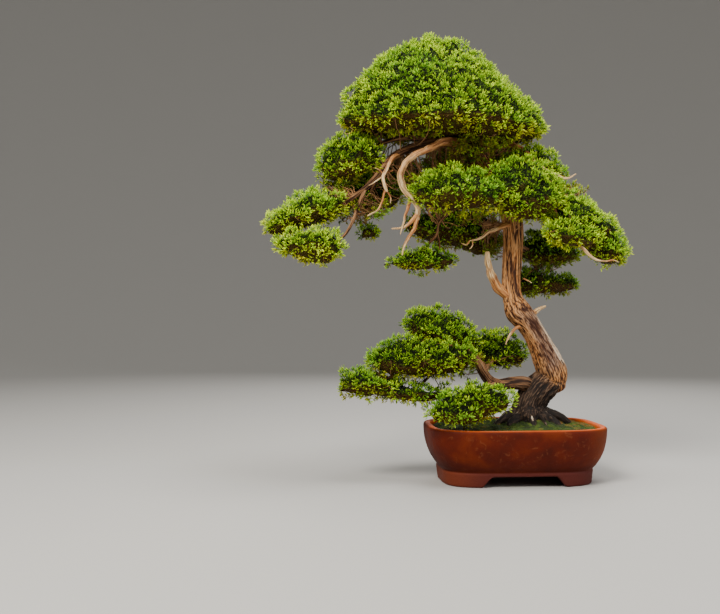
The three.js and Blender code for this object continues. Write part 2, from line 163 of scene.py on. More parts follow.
# A mesh object from points in metres, its faces, and named values on its points
def addMesh(name, skin, smooth=True):
    mesh = bpy.data.meshes.new(name)
    faces = [skin[key] for key in ("quads", "triangles") if len(skin[key])]
    corners = np.concatenate([face.ravel() for face in faces]).astype(np.int32)
    sizes = np.concatenate([np.full(len(face), face.shape[1]) for face in faces])
    mesh.vertices.add(len(skin["points"]))
    mesh.vertices.foreach_set("co", skin["points"].astype(np.float32).ravel())
    mesh.loops.add(len(corners))
    mesh.loops.foreach_set("vertex_index", corners)
    mesh.polygons.add(len(sizes))
    mesh.polygons.foreach_set("loop_start", (np.cumsum(sizes) - sizes).astype(np.int32))
    mesh.update(calc_edges=True)
    mesh.polygons.foreach_set("use_smooth", np.array(np.broadcast_to(smooth, len(sizes))))
    for key, values in skin.items():
        if key in ("points", "quads", "triangles"):
            continue
        if values.ndim == 2:
            kind, field = "FLOAT_VECTOR", "vector"
        else:
            kind, field = "FLOAT", "value"
        layer = mesh.attributes.new(key, kind, "POINT")
        layer.data.foreach_set(field, values.astype(np.float32).ravel())
    thing = bpy.data.objects.new(name, mesh)
    bpy.context.scene.collection.objects.link(thing)
    return thing


triangleCount = {}


# Puts a finished piece on the tree: its material, and the nodes that it stands for
def place(piece, finish, slot, *nodes):
    piece.data.materials.clear()
    piece.data.materials.append(finish.material)
    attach(piece, "root")
    if nodes:
        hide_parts(*nodes)
    triangleCount[piece.name] = sum(len(face.vertices) - 2 for face in piece.data.polygons)


# Materials

# An output of a node. Sums, differences and products of it add Math nodes.
class Wire:
    def __init__(self, finish, socket):
        self.finish = finish
        self.socket = socket

    def work(self, operation, first, second):
        return self.finish.add("Math", {"operation": operation}, {0: first, 1: second})

    def __add__(self, other):
        return self.work("ADD", self, other)

    def __sub__(self, other):
        return self.work("SUBTRACT", self, other)

    def __rsub__(self, other):
        return self.work("SUBTRACT", other, self)

    def __mul__(self, other):
        return self.work("MULTIPLY", self, other)

    __radd__ = __add__
    __rmul__ = __mul__


class Finish:
    def __init__(self, name, roughness, **uniform):
        self.material = bpy.data.materials.new(name)
        self.material.use_nodes = True
        self.tree = self.material.node_tree
        self.shader = self.tree.nodes["Principled BSDF"]
        self.shader.inputs["Roughness"].default_value = roughness
        for key, value in uniform.items():
            self.shader.inputs[key.replace("_", " ")].default_value = value

    # Adds a node: its settings first, a ramp's stops among them, and then what its sockets take
    def add(self, kind, settings=None, sockets=None, output=0):
        node = self.tree.nodes.new("ShaderNode" + kind)
        for key, value in (settings or {}).items():
            if key == "stops":
                self.setStops(node.color_ramp, value)
            else:
                setattr(node, key, value)
        for key, value in (sockets or {}).items():
            self.feed(node.inputs[key], value)
        return Wire(self, node.outputs[output])

    def feed(self, socket, value):
        if isinstance(value, Wire):
            self.tree.links.new(value.socket, socket)
        else:
            socket.default_value = value

    def setStops(self, ramp, stops):
        while len(ramp.elements) < len(stops):
            ramp.elements.new(1)
        for element, (place, colour) in zip(ramp.elements, stops):
            element.position = place
            element.color = (*colour, 1) if isinstance(colour, tuple) else (colour, colour, colour, 1)

    def ramp(self, factor, stops):
        return self.add("ValToRGB", {"stops": stops}, {0: factor})

    # A number from 0 to 1 as factor goes from low to high
    def between(self, factor, low, high):
        return self.add("MapRange", {"interpolation_type": "SMOOTHSTEP"}, {0: factor, 1: low, 2: high})

    def mix(self, factor, first, second):
        first, second = ((*c, 1) if isinstance(c, tuple) else c for c in (first, second))
        return self.add("Mix", {"data_type": "RGBA"}, {0: factor, 6: first, 7: second}, 2)

    def value(self, name, output="Fac"):
        return self.add("Attribute", {"attribute_name": name}, output=output)

    def place(self, output="Object"):
        return self.add("TexCoord", output=output)

    def noise(self, where, size, detail=3.0, roughness=0.5, distortion=0.0):
        return self.add("TexNoise", None, {
            "Vector": where,
            "Scale": 1 / size,
            "Detail": detail,
            "Roughness": roughness,
            "Distortion": distortion,
        })

    def colour(self, wire):
        self.feed(self.shader.inputs["Base Color"], wire)

    def roughness(self, wire):
        self.feed(self.shader.inputs["Roughness"], wire)

    def bump(self, height, distance, strength=1.0):
        bumped = self.add("Bump", None, {"Strength": strength, "Distance": distance, "Height": height})
        self.feed(self.shader.inputs["Normal"], bumped)


# Camera: where the photograph was taken from, level, and turned a little round the pot

cameraPlace = {
    "fromPot": (-458.6, -1970.1, 340.5),
    "yaw": -4.5,
    "focalPixels": 1011,
    "frameWidth": 720,
    "sensorWidth": 36.0,
}


def addCamera():
    data = bpy.data.cameras.new("camera")
    data.sensor_width = cameraPlace["sensorWidth"]
    data.lens = cameraPlace["focalPixels"] * cameraPlace["sensorWidth"] / cameraPlace["frameWidth"]
    data.clip_end = 30
    camera = bpy.data.objects.new("camera", data)
    camera.location = potMiddle + np.array(cameraPlace["fromPot"]) * millimetre
    camera.rotation_euler = (math.pi / 2, 0, math.radians(cameraPlace["yaw"]))
    bpy.context.scene.collection.objects.link(camera)
    bpy.context.scene.camera = camera


# Plain pale floor that curves up all round, soft lights and a dim even sky

lights = {
    "key": {"from": (-1.2, -1.8, 2.2), "size": 1.0, "watts": 108, "colour": (1.0, 0.95, 0.87)},
    "top": {"from": (0.2, -0.2, 2.4), "size": 1.2, "watts": 44, "colour": (1.0, 0.97, 0.92)},
    "fill": {"from": (2.0, -1.4, 1.2), "size": 1.4, "watts": 30, "colour": (1.0, 0.98, 0.96)},
    "back": {"from": (0.6, 2.2, 1.6), "size": 1.4, "watts": 22, "colour": (1.0, 0.97, 0.93)},
}
studio = {
    "floorColour": (0.46, 0.455, 0.44),
    "floorReach": 3.4,          # metres of flat floor before it curves up all round
    "sweepRadius": 3.2,
    "floorSides": 96,
    "sweepSteps": 40,
    "sky": (0.86, 0.84, 0.80),
    "skyStrength": 0.30,
}


def addStudio():
    aim = np.array([0.0, 0.0, 0.45])
    for name, light in lights.items():
        data = bpy.data.lights.new(name, "AREA")
        data.size = light["size"]
        data.energy = light["watts"]
        data.color = light["colour"]
        lamp = bpy.data.objects.new(name, data)
        lamp.location = light["from"]
        toAim = aim - np.array(light["from"])
        away = math.hypot(toAim[0], toAim[1])
        lamp.rotation_euler = (math.atan2(away, -toAim[2]), 0, math.atan2(-toAim[0], toAim[1]))
        bpy.context.scene.collection.objects.link(lamp)
    world = bpy.data.worlds.new("sky")
    world.use_nodes = True
    world.node_tree.nodes["Background"].inputs["Color"].default_value = (*studio["sky"], 1)
    world.node_tree.nodes["Background"].inputs["Strength"].default_value = studio["skyStrength"]
    bpy.context.scene.world = world
    # the floor: a flat disc whose edge follows a quarter circle up all round
    sides = studio["floorSides"]
    rise = np.linspace(0, math.pi / 2, studio["sweepSteps"])
    reach = np.concatenate([[0.5, 1.6], studio["floorReach"] + studio["sweepRadius"] * np.sin(rise)])[:, None]
    level = np.concatenate([[0, 0], studio["sweepRadius"] * (1 - np.cos(rise))])[:, None]
    turn = fullTurn(sides)[None, :]
    grid = np.stack([reach * np.cos(turn), reach * np.sin(turn), level + 0 * turn], axis=-1)
    points = np.concatenate([grid.reshape(-1, 3), np.zeros((1, 3))])
    triangles = poleTriangles(1, sides)[:sides][:, [0, 2, 1]]
    triangles[:, 0] = len(points) - 1
    quads = ringQuads(len(reach), sides)[:, ::-1]
    floor = addMesh("floor", {"points": points, "quads": quads, "triangles": triangles})
    pale = Finish("paleFloor", 0.9)
    grain = pale.noise(pale.place(), 0.4, 2.0)
    pale.colour(pale.mix(grain * 0.1, studio["floorColour"], (0.52, 0.51, 0.49)))
    floor.data.materials.append(pale.material)


# Paths and limbs

# A curve through points, on the distance s along them.
# Each span is the cubic that has the points' slopes at its ends.
def smoothPath(points, step):
    points = np.asarray(points, float)
    spans = np.linalg.norm(np.diff(points[:, :3], axis=0), axis=1)
    along = np.concatenate([[0], np.cumsum(spans)])
    slopes = np.gradient(points, along, axis=0)
    s = np.linspace(0, along[-1], max(4, round(along[-1] / step)) + 1)
    index = np.clip(np.searchsorted(along, s, side="right") - 1, 0, len(spans) - 1)
    length = spans[index][:, None]
    t = (s[:, None] - along[index][:, None]) / length
    curve = (2 * t ** 3 - 3 * t ** 2 + 1) * points[index]
    curve = curve + (t ** 3 - 2 * t ** 2 + t) * length * slopes[index]
    curve += (3 * t ** 2 - 2 * t ** 3) * points[index + 1] + (t ** 3 - t ** 2) * length * slopes[index + 1]
    return curve, s, index + t[:, 0]


# Two directions across a path at every step, carried along it without turning
def pathFrames(middles):
    forward = unit(np.gradient(middles, axis=0))
    across = np.zeros_like(forward)
    carried = np.array([0.0, 1.0, 0.0])
    for step, direction in enumerate(forward):
        carried = carried - direction * (carried @ direction)
        carried /= np.linalg.norm(carried)
        across[step] = carried
    return forward, across, np.cross(forward, across)


limbEnds = {"rings": 5, "blunt": 0.6, "fall": 0.97, "thinnest": 0.4}


# Repeats the first and last value of a row of them, once for each ring of a limb's end
def padded(values):
    first, last = (np.repeat(end, limbEnds["rings"], axis=0) for end in (values[:1], values[-1:]))
    return np.concatenate([first, values, last])


# A limb along [x, y, z, radius]: middle + (radius + relief(turn, s)) (across cos turn + beside sin turn).
# At an end the radius falls as sqrt(1 - (fall t)^2) while the ring moves on by blunt t radii.
def limbSkin(controls, step, around, relief, kink=0.0):
    curve, s, index = smoothPath(controls, step)
    flat = 0 * s
    wander = np.stack([
        noise(np.column_stack([s / 17, axis + flat, controls[0][0] + flat])) for axis in (0.5, 3.5, 6.5)
    ], axis=-1)
    middles = curve[:, :3] + kink * wander
    radii = np.maximum(curve[:, 3], limbEnds["thinnest"])
    forward, across, beside = pathFrames(middles)
    t = np.linspace(1, 0, limbEnds["rings"] + 1)[:-1]
    caps = []
    for end, sign, order in ((0, -1, 1), (-1, 1, -1)):
        push = (t * radii[end] * limbEnds["blunt"])[::order]
        shrink = np.sqrt(1 - (limbEnds["fall"] * t[::order]) ** 2)
        caps.append((middles[end] + sign * push[:, None] * forward[end], radii[end] * shrink, sign * push))
    allMiddles = np.concatenate([caps[0][0], middles, caps[1][0]])
    allRadii = np.concatenate([caps[0][1], radii, caps[1][1]])
    allS = np.concatenate([s[0] + caps[0][2], s, s[-1] + caps[1][2]])
    turns, lengths = np.meshgrid(fullTurn(around), allS)
    sizes, indices = (np.repeat(padded(row)[:, None], around, axis=1) for row in (radii, index))
    height, twist, crack = relief(turns, lengths, sizes, indices)
    reach = (sizes + height) * (allRadii / padded(radii))[:, None]
    outward = roundAbout(padded(across)[:, None], padded(beside)[:, None], turns)
    skin = closedSkin(allMiddles[:, None] + outward * reach[..., None])
    grain = [sizes * np.cos(turns + twist), sizes * np.sin(turns + twist), lengths / 11]
    skin["grain"] = skinValues(np.stack(grain, axis=-1) * millimetre)
    skin["outward"] = np.concatenate([outward.reshape(-1, 3), np.stack([-forward[0], forward[-1]])])
    skin["crack"] = skinValues(crack)
    skin["along"] = skinValues(lengths / s[-1])
    skin["length"] = skinValues(lengths)
    return skin


# Noise of a bark pattern, which is as wide round the limb as asked, and stretched along it
def barkNoise(turns, lengths, sizes, twist, salt):
    def pattern(width, stretch):
        reach, along = sizes / width, lengths / (width * stretch)
        where = [reach * np.cos(turns + twist) + salt, reach * np.sin(turns + twist), along]
        return noise(np.stack(where, axis=-1))
    return pattern


# Wood

trunkLook = {
    "step": 1.9,
    "around": 104,
    "baseAround": 134,
    "fluteShare": 0.045,      # depth of the long ridges, as a share of the radius
    "baseFluteShare": 0.07,
    "stripWidth": 4.8,        # strips of bark between long cracks, and the cracks' depth
    "stripDepth": 1.6,
    "fibreWidth": 2.3,
    "fibreDepth": 0.7,
    "hairWidth": 1.5,
    "hairHeight": 0.35,
    "twistEvery": 260,        # length in which the fibres go a radian round
}
stemBase = [
    [36, 2, 68, 24], [35, 2, 98, 36], [34, 2, 127, 40], [36, 2, 149, 31],
    [48, 2, 170, 31], [65, 2, 188, 30], [78, 2, 200, 26],
]
stem = [
    [86, 0, 182, 20], [80, 0, 204, 28], [70, 0, 232, 27.5], [57, -2, 260, 24], [44, -3, 285, 22],
    [28, -3, 311, 23], [10, 0, 333, 26], [1, 4, 356, 20.5], [-2, 8, 390, 19], [0, 9, 430, 19.5],
    [2, 8, 469, 20], [0, 8, 509, 20.5], [-10, 9, 546, 19], [-30, 8, 586, 17.5], [-53, 5, 625, 16],
    [-77, 2, 663, 14], [-101, -2, 703, 12], [-125, -7, 750, 9.5], [-144, -11, 790, 6],
]


# Height of the bark: broad flutes, less the cracks that run where a stretched noise is near 0, and hairs.
# It gives the height, the twist of the grain and how deep in a crack each point lies, from 0 to 1.
def barkRelief(salt, flute, strip=1.0):
    def relief(turns, lengths, sizes, indices):
        twist = lengths / trunkLook["twistEvery"]
        ridge = np.cos(4 * turns + 0.5 * indices) + 0.6 * np.cos(3 * turns - 0.8 * indices)
        pattern = barkNoise(turns, lengths, sizes, twist, salt)
        cracks = smoothStep(0.27, 0.02, np.abs(pattern(trunkLook["stripWidth"], 17)))
        fibres = smoothStep(0.28, 0.0, np.abs(pattern(trunkLook["fibreWidth"], 24)))
        height = flute * sizes * ridge
        height = height - strip * (trunkLook["stripDepth"] * cracks + trunkLook["fibreDepth"] * fibres)
        height += strip * trunkLook["hairHeight"] * pattern(trunkLook["hairWidth"], 16)
        return height, twist, np.clip(cracks * 0.8 + fibres * 0.55, 0, 1)
    return relief


# Sets how wood looks at its points: age from 0 to 2, which on the stump also carries painted shade, and
# bleach, grey and crack from 0 to 1, bleach also carrying a painted highlight on the roots' upper faces
def setWoodLooks(skin, **looks):
    for key, values in looks.items():
        skin[key] = np.broadcast_to(values, len(skin["points"])).astype(float)
    return skin


def buildTrunk():
    step = trunkLook["step"]
    baseRelief = barkRelief(3.1, trunkLook["baseFluteShare"], 1.5)
    base = limbSkin(stemBase, step, trunkLook["baseAround"], baseRelief)
    upper = limbSkin(stem, step, trunkLook["around"], barkRelief(8.7, trunkLook["fluteShare"]))
    # painted shade: the stump's side that faces right and down is made darker, through a higher age
    shaded = smoothStep(0.1, 0.8, base["outward"] @ np.array([1.0, 0.0, -0.3]))
    age = 1.2 - 0.45 * smoothStep(96, 150, base["length"]) + 0.45 * shaded
    setWoodLooks(base, age=age, bleach=0.10 * (1 - base["crack"]), grey=0)
    # the leaning part is greyer in front, with a strip of bare wood up its right from the heel to the spur
    where = fromPot(upper["points"])
    leaning = smoothStep(20, 50, upper["length"]) * smoothStep(190, 140, upper["length"])
    grey = leaning * smoothStep(0.2, 0.8, upper["outward"] @ np.array([0.45, -0.80, 0.4]))
    age = smoothStep(82, 48, where[:, 0]) * smoothStep(232, 200, where[:, 2])
    strip = smoothStep(0.80, 0.98, upper["outward"] @ np.array([0.93, -0.32, 0.18]))
    reached = smoothStep(24, 66, upper["length"]) * smoothStep(168, 130, upper["length"])
    setWoodLooks(upper, grey=grey, age=age, bleach=0.9 * strip * reached)
    return addMesh("trunk", joined([base, upper]))


branches = [
    # low branch, which leaves the base to the left and rises into the lower pads
    [[38, 4, 182, 15], [21, -4, 189, 14], [-7, -8, 190, 12.5], [-33, -12, 188, 11.5], [-51, -15, 197, 10.5],
     [-64, -18, 214, 9.5], [-75, -20, 233, 8.5], [-93, -22, 251, 7.5], [-127, -25, 262, 6.5],
     [-166, -25, 266, 4]],
    [[-114, -24, 258, 5.5], [-135, -10, 281, 4.5], [-148, 5, 304, 3]],
    [[-136, -25, 262, 5.5], [-181, -25, 238, 4.5], [-228, -22, 211, 3.5], [-268, -20, 198, 2.5]],
    [[-64, -18, 214, 7], [-47, 20, 223, 6], [-30, 56, 233, 5], [-18, 82, 246, 3]],
    [[-40, -12, 191, 7], [-62, -45, 186, 6], [-82, -72, 176, 4.5], [-96, -90, 162, 3]],
    [[-127, -25, 262, 5], [-150, -28, 233, 4], [-178, -30, 200, 3], [-198, -30, 182, 2.5]],
    # long left branch of the upper half
    [[-58, 4, 642, 13], [-86, -4, 656, 12], [-122, -10, 662, 11], [-165, -15, 660, 10],
     [-205, -18, 650, 8.5], [-240, -18, 632, 7.4], [-262, -18, 608, 6.4], [-290, -17, 575, 5.6],
     [-325, -15, 549, 4.8], [-369, -12, 518, 4], [-408, -10, 508, 2.5]],
    [[-296, -17, 566, 4.5], [-310, -20, 530, 3.8], [-322, -26, 500, 3.2], [-338, -32, 476, 2.8],
     [-371, -36, 458, 2.2]],
    [[-150, -12, 658, 7], [-188, -8, 670, 6], [-226, -6, 670, 5], [-266, -4, 658, 4], [-299, -2, 641, 3.2],
     [-332, -5, 622, 2.4]],
    # hanging branch below the middle
    [[-80, -52, 568, 4.5], [-113, -42, 542, 3.8], [-139, -25, 518, 3.2], [-151, -8, 500, 3],
     [-152, 0, 485, 3], [-168, 5, 465, 2.6], [-187, 8, 446, 2.2]],
    [[-152, 0, 487, 2.6], [-146, 5, 462, 2.4], [-152, 10, 438, 2]],
    # right branches
    [[-4, 6, 530, 12], [12, 2, 552, 10], [31, -5, 558, 9], [62, -10, 549, 7.5], [95, -10, 528, 6],
     [131, -8, 503, 4.5], [162, -4, 480, 3]],
    [[-58, 6, 620, 9], [-29, 6, 648, 7.5], [-1, 8, 654, 6], [31, 10, 642, 4.5], [62, 10, 625, 3]],
    [[95, -10, 528, 4.5], [102, -40, 506, 3.5], [96, -68, 480, 2.5]],
    # forward and rear branches
    [[-26, 8, 580, 9], [-52, -20, 580, 7], [-87, -52, 571, 5.5], [-118, -76, 564, 3.5],
     [-156, -84, 566, 2.5]],
    [[-10, 8, 554, 8], [-7, -14, 572, 5.5], [-8, -36, 582, 3.5]],
    [[0, 8, 494, 8], [-24, 40, 506, 6.5], [-52, 72, 509, 5], [-82, 92, 506, 3]],
    [[-46, 64, 509, 4], [-101, 78, 518, 3.4], [-138, 80, 518, 2.4]],
    [[2, 8, 450, 8], [24, 40, 460, 7], [52, 68, 454, 5], [78, 86, 444, 3]],
    [[46, 62, 456, 4.5], [62, 78, 428, 3.6], [72, 86, 408, 2.6]],
    [[-46, 8, 612, 8], [-56, 60, 638, 6.5], [-64, 105, 647, 5], [-70, 138, 652, 3]],
    [[-12, 8, 546, 8], [16, 48, 572, 6.5], [45, 84, 585, 5], [66, 106, 586, 3]],
    [[-200, -17, 650, 6], [-226, 26, 648, 5], [-242, 66, 640, 4], [-250, 100, 626, 2.6]],
    [[-264, -18, 606, 5], [-276, 18, 588, 4], [-286, 46, 576, 3.2], [-290, 60, 568, 2.4]],
    [[-266, -16, 603, 4], [-282, 24, 558, 3.2], [-288, 54, 508, 2.4]],
]
deadBranches = [
    [[-92, -6, 655, 9], [-120, -22, 661, 8.4], [-148, -38, 658, 7.8], [-173, -50, 645, 7.2],
     [-200, -60, 631, 6.8], [-222, -66, 613, 6.4], [-231, -68, 594, 6.1], [-228, -68, 570, 5.9],
     [-213, -68, 548, 5.8], [-199, -66, 526, 5.2], [-199, -65, 507, 4.6]],
    [[-198, -65, 512, 4.8], [-205, -63, 490, 3.9], [-214, -60, 473, 3.2], [-223, -58, 457, 2.6],
     [-227, -56, 440, 1.5]],
    [[-198, -66, 517, 4], [-211, -68, 504, 3.2], [-226, -70, 490, 2.6], [-248, -72, 489, 1.2]],
    [[-211, -68, 545, 3.6], [-219, -70, 524, 2.8], [-225, -71, 505, 2.2], [-232, -73, 479, 1.1]],
    [[-230, -19, 637, 4.8], [-245, -35, 626, 4.4], [-255, -44, 608, 4.1], [-262, -51, 585, 3.8],
     [-257, -54, 561, 3]],
    [[-258, -53, 566, 2.8], [-265, -57, 543, 2.4], [-273, -59, 526, 2], [-294, -63, 514, 1.1]],
    [[-258, -53, 564, 2.4], [-249, -53, 551, 2], [-250, -52, 538, 1.1]],
    [[-34, 6, 650, 6], [-6, 2, 662, 5], [26, -10, 646, 4.4], [38, -20, 626, 4], [56, -30, 609, 3.4],
     [78, -35, 598, 3], [97, -38, 591, 2.4], [115, -38, 599, 1.2]],
    [[79, -10, 536, 5], [87, -30, 496, 4.4], [102, -50, 476, 4], [112, -75, 460, 3.6], [125, -85, 443, 3],
     [141, -85, 431, 2.4], [166, -80, 428, 1.3]],
    [[0, 4, 504, 6], [-22, -18, 500, 4.4], [-39, -28, 493, 3.8], [-58, -36, 484, 3.2], [-78, -44, 472, 2.4],
     [-96, -48, 468, 1.3]],
    [[2, 4, 352, 8], [-18, -4, 366, 8.4], [-33, -9, 380, 8.8], [-45, -14, 401, 8], [-51, -17, 420, 6.2],
     [-56, -18, 447, 4.4]],
    [[28, 0, 311, 7], [40, -5, 328, 4.6], [52, -8, 337, 3.8], [63, -9, 341, 1.8]],
    [[20, -8, 306, 4.6], [4, -15, 299, 3.2], [-10, -18, 286, 2.3], [-19, -20, 268, 1.1]],
]
branchLook = {"step": 5.0, "flute": 0.05, "deadStep": 2.5, "deadFlute": 0.10, "deadKink": 1.7}
fineDeadTwigs = [
    [[-285, -8, 690, 1.9], [-300, -12, 684, 1.7], [-318, -14, 685, 1.5], [-330, -16, 700, 1.2],
     [-338, -16, 706, 0.9], [-348, -14, 709, 0.6]],
    [[-318, -14, 685, 1.3], [-327, -18, 676, 1.0], [-338, -20, 678, 0.6]],
    [[-244, -35, 602, 1.9], [-262, -42, 594, 1.6], [-280, -46, 578, 1.2], [-292, -48, 573, 0.7]],
    [[-262, -42, 594, 1.3], [-270, -46, 604, 1.0], [-282, -48, 606, 0.6]],
    [[-96, -48, 468, 1.5], [-104, -52, 460, 1.2], [-112, -52, 463, 0.7]],
    [[-90, -47, 470, 1.3], [-92, -50, 458, 1.0], [-98, -52, 452, 0.6]],
    [[166, -80, 428, 1.5], [178, -78, 430, 1.1], [188, -76, 426, 0.6]],
    [[22, 2, 398, 1.8], [30, -4, 392, 1.4], [36, -6, 388, 0.7]],
]


# Points round a limb: fewer on a thin one
def sidesFor(radius, pitch):
    return int(np.clip(round(2 * math.pi * radius / pitch), 8, 36))


# Dead wood: flutes, knots along it, and cracks
def deadRelief(salt):
    bark = barkRelief(salt, branchLook["deadFlute"], 0.3)

    def relief(turns, lengths, sizes, indices):
        height, twist, crack = bark(turns, lengths, sizes, indices)
        knots = barkNoise(turns, lengths, sizes, twist, salt)(11, 1.2)
        return height + 0.24 * sizes * knots, twist, crack
    return relief


def buildBranches():
    skins = []
    for number, controls in enumerate(branches):
        around = sidesFor(controls[0][3], 2.6)
        relief = barkRelief(number * 3.7, branchLook["flute"], 0.45)
        skin = limbSkin(controls, branchLook["step"], around, relief)
        age = 0.9 - 0.65 * skin["along"] ** 0.5 if number == 0 else 0.45
        skins.append(setWoodLooks(skin, age=age, bleach=0, grey=0.4 * (1 - skin["along"])))
    return addMesh("branches", joined(skins))


def buildDeadwood():
    skins = []
    for number, controls in enumerate(deadBranches + fineDeadTwigs):
        around = sidesFor(controls[0][3], 1.6)
        relief = deadRelief(number * 5.3 + 40)
        skins.append(limbSkin(controls, branchLook["deadStep"], around, relief, kink=branchLook["deadKink"]))
    return addMesh("deadwood", joined(skins))


trunkFoot = np.array([35.0, 2.0])
soilLook = {"edgeLevel": 102, "mound": 16, "moundReach": 62, "roll": 4}


# Level of the soil: edge + mound exp(-(distance from the trunk / reach)^2), and a roll that ends at the wall
def soilLevel(x, y, share=0.5):
    away = np.hypot(x - trunkFoot[0], y - trunkFoot[1]) / soilLook["moundReach"]
    mounded = soilLook["edgeLevel"] + soilLook["mound"] * np.exp(-away ** 2)
    return mounded + soilLook["roll"] * (1 - share ** 8)


roots = [
    {"bearing": -10, "reach": 92, "radius": 11, "arch": 11},
    {"bearing": -50, "reach": 84, "radius": 10, "arch": 4},
    {"bearing": -92, "reach": 72, "radius": 10, "arch": 2},
    {"bearing": -136, "reach": 84, "radius": 10, "arch": 3},
    {"bearing": -172, "reach": 90, "radius": 12, "arch": 5},
    {"bearing": 135, "reach": 80, "radius": 11, "arch": 2},
    {"bearing": 84, "reach": 72, "radius": 10, "arch": 3},
    {"bearing": 36, "reach": 84, "radius": 10, "arch": 4},
]
fineRoots = {"count": 16, "reach": (50, 84), "radius": (3.0, 5.5), "arch": (0, 5), "seed": 5}


# A root runs out from the trunk on its bearing, swaying by 9 share sin(bearing + 4 share), and dives down.
# Its rows are its share of the reach, its height over the soil and its share of the radius.
def rootPath(root):
    angle = math.radians(root["bearing"])
    path = []
    arch = root["arch"]
    rows = ((0.12, 15, 1), (0.42, 4 + arch, 0.95), (0.72, arch * 0.6, 0.75), (1, -12, 0.4))
    for share, height, size in rows:
        sway = 9 * math.sin(root["bearing"] + 4 * share) * share
        x = trunkFoot[0] + root["reach"] * share * math.cos(angle) - sway * math.sin(angle)
        y = trunkFoot[1] + root["reach"] * share * math.sin(angle) + sway * math.cos(angle)
        path.append([x, y, height + soilLevel(x, y), root["radius"] * size])
    return path


# Knotted root surface: lumps along it, with ridged bark between them
def rootRelief(salt):
    def relief(turns, lengths, sizes, indices):
        twist = lengths / 90
        pattern = barkNoise(turns, lengths, sizes, twist, salt)
        cracks = smoothStep(0.4, 0.0, np.abs(pattern(4.5, 4)))
        height = 0.3 * sizes * pattern(13, 1.6) - 0.14 * sizes * cracks + 0.4 * pattern(1.8, 5)
        return height, twist, cracks
    return relief


def buildRoots():
    draw = np.random.default_rng(fineRoots["seed"])
    fine = [{
        "bearing": number * 360 / fineRoots["count"] + draw.uniform(-9, 9),
        "reach": draw.uniform(*fineRoots["reach"]),
        "radius": draw.uniform(*fineRoots["radius"]),
        "arch": draw.uniform(*fineRoots["arch"]),
    } for number in range(fineRoots["count"])]
    skins = []
    for number, root in enumerate(roots + fine):
        around = sidesFor(root["radius"], 2.2)
        skin = limbSkin(rootPath(root), 2.4, around, rootRelief(number * 2.9))
        # painted highlight, partly bleached wood: cream streaks on the raised bark of the roots' upward faces
        above = smoothStep(0.5, 1.0, skin["outward"][:, 2])
        bleach = 0.42 * smoothStep(0.3, 0.0, skin["crack"]) * above
        skins.append(setWoodLooks(skin, age=1.7, grey=0, bleach=bleach))
    return addMesh("roots", joined(skins))


# Bark: dark red-brown in the cracks, tan and orange strips between, brown-black with age and under the
# stump's painted shade, bare where bleached and where a highlight is painted on the roots
def barkFinish():
    bark = Finish("juniperBark", 0.8, Specular_IOR_Level=0.3)
    grain = bark.value("grain", "Vector")
    strips = bark.noise(grain, 0.0034, 4.0, 0.6)
    fibres = bark.noise(grain, 0.0013, 3.0, 0.65)
    patches = bark.noise(bark.place(), 0.026, 3.0, 0.6)
    raised = 1 - bark.value("crack") * 0.74 + (fibres - 0.5) * 0.8
    tan = bark.ramp(strips * 0.7 + patches * 0.3, [
        (0.36, (0.20, 0.058, 0.014)), (0.45, (0.46, 0.180, 0.046)), (0.52, (0.64, 0.32, 0.12)),
        (0.60, (0.50, 0.22, 0.07)), (0.68, (0.46, 0.30, 0.18))])
    grey = bark.ramp(strips, [
        (0.38, (0.055, 0.022, 0.012)), (0.48, (0.165, 0.098, 0.066)), (0.62, (0.35, 0.245, 0.18))])
    lit = bark.mix(bark.value("grey") * 0.85, tan, grey)
    lit = bark.mix(bark.between(raised, 0.36, 1.06), (0.034, 0.008, 0.002), lit)
    oldAndShaded = bark.ramp(raised, [
        (0.35, (0.004, 0.002, 0.001)), (0.82, (0.030, 0.014, 0.007)), (1.0, (0.13, 0.078, 0.047))])
    age = bark.value("age")
    # past 1, age turns the bark near black: on the roots, and on the stump's side with painted shade
    oldAndShaded = bark.mix(age - 1, oldAndShaded, (0.007, 0.005, 0.004))
    coloured = bark.mix(age, lit, oldAndShaded)
    bare = bark.ramp(fibres * 0.6 + strips * 0.4, [
        (0.36, (0.16, 0.085, 0.045)), (0.46, (0.44, 0.31, 0.20)), (0.60, (0.82, 0.68, 0.50))])
    # bleach, with the roots' painted highlight, turns the bark to bare wood
    bleachedAndHighlit = bark.between(bark.value("bleach") + (strips - 0.5) * 0.9 + (fibres - 0.5) * 0.5, 0.25, 0.62)
    bark.colour(bark.mix(bleachedAndHighlit, coloured, bare))
    bark.roughness(bark.between(fibres, 0.2, 0.8) * 0.25 + 0.65)
    bark.bump(strips * 0.5 + fibres, 0.0012, 0.9)
    return bark


# Dead wood: orange-tan where some bark is left near its root, cream and grey out at the tips
def deadwoodFinish():
    dead = Finish("bleachedWood", 0.65, Specular_IOR_Level=0.4)
    grain = dead.value("grain", "Vector")
    fibres = dead.noise(grain, 0.0018, 4.0, 0.6)
    patches = dead.noise(dead.place(), 0.03, 2.0, 0.5)
    raised = fibres - dead.value("crack") * 0.16
    bare = dead.ramp(raised, [
        (0.24, (0.22, 0.095, 0.035)), (0.44, (0.62, 0.40, 0.18)), (0.64, (0.86, 0.70, 0.43))])
    barked = dead.ramp(raised, [
        (0.26, (0.13, 0.035, 0.010)), (0.46, (0.48, 0.19, 0.05)), (0.64, (0.68, 0.38, 0.14))])
    left = dead.between(dead.value("along") + (patches - 0.5) * 1.1, 0.4, 0.8)
    dead.colour(dead.mix(left, barked, bare))
    dead.roughness(fibres * 0.3 + 0.45)
    dead.bump(fibres, 0.0009, 0.8)
    return dead


# Pot

potLook = {
    "halfLength": 173,
    "halfWidth": 127,
    "outlinePower": 3.7,
    "around": 300,
    "archLow": 81,
    "archHigh": 61,
    "archHeight": 21,
    "handMarks": 0.45,
    "drainAt": 85,
    "drainRadius": 13,
    "drainLevels": (20.0, 43.0),
    "drainSides": 48,
}
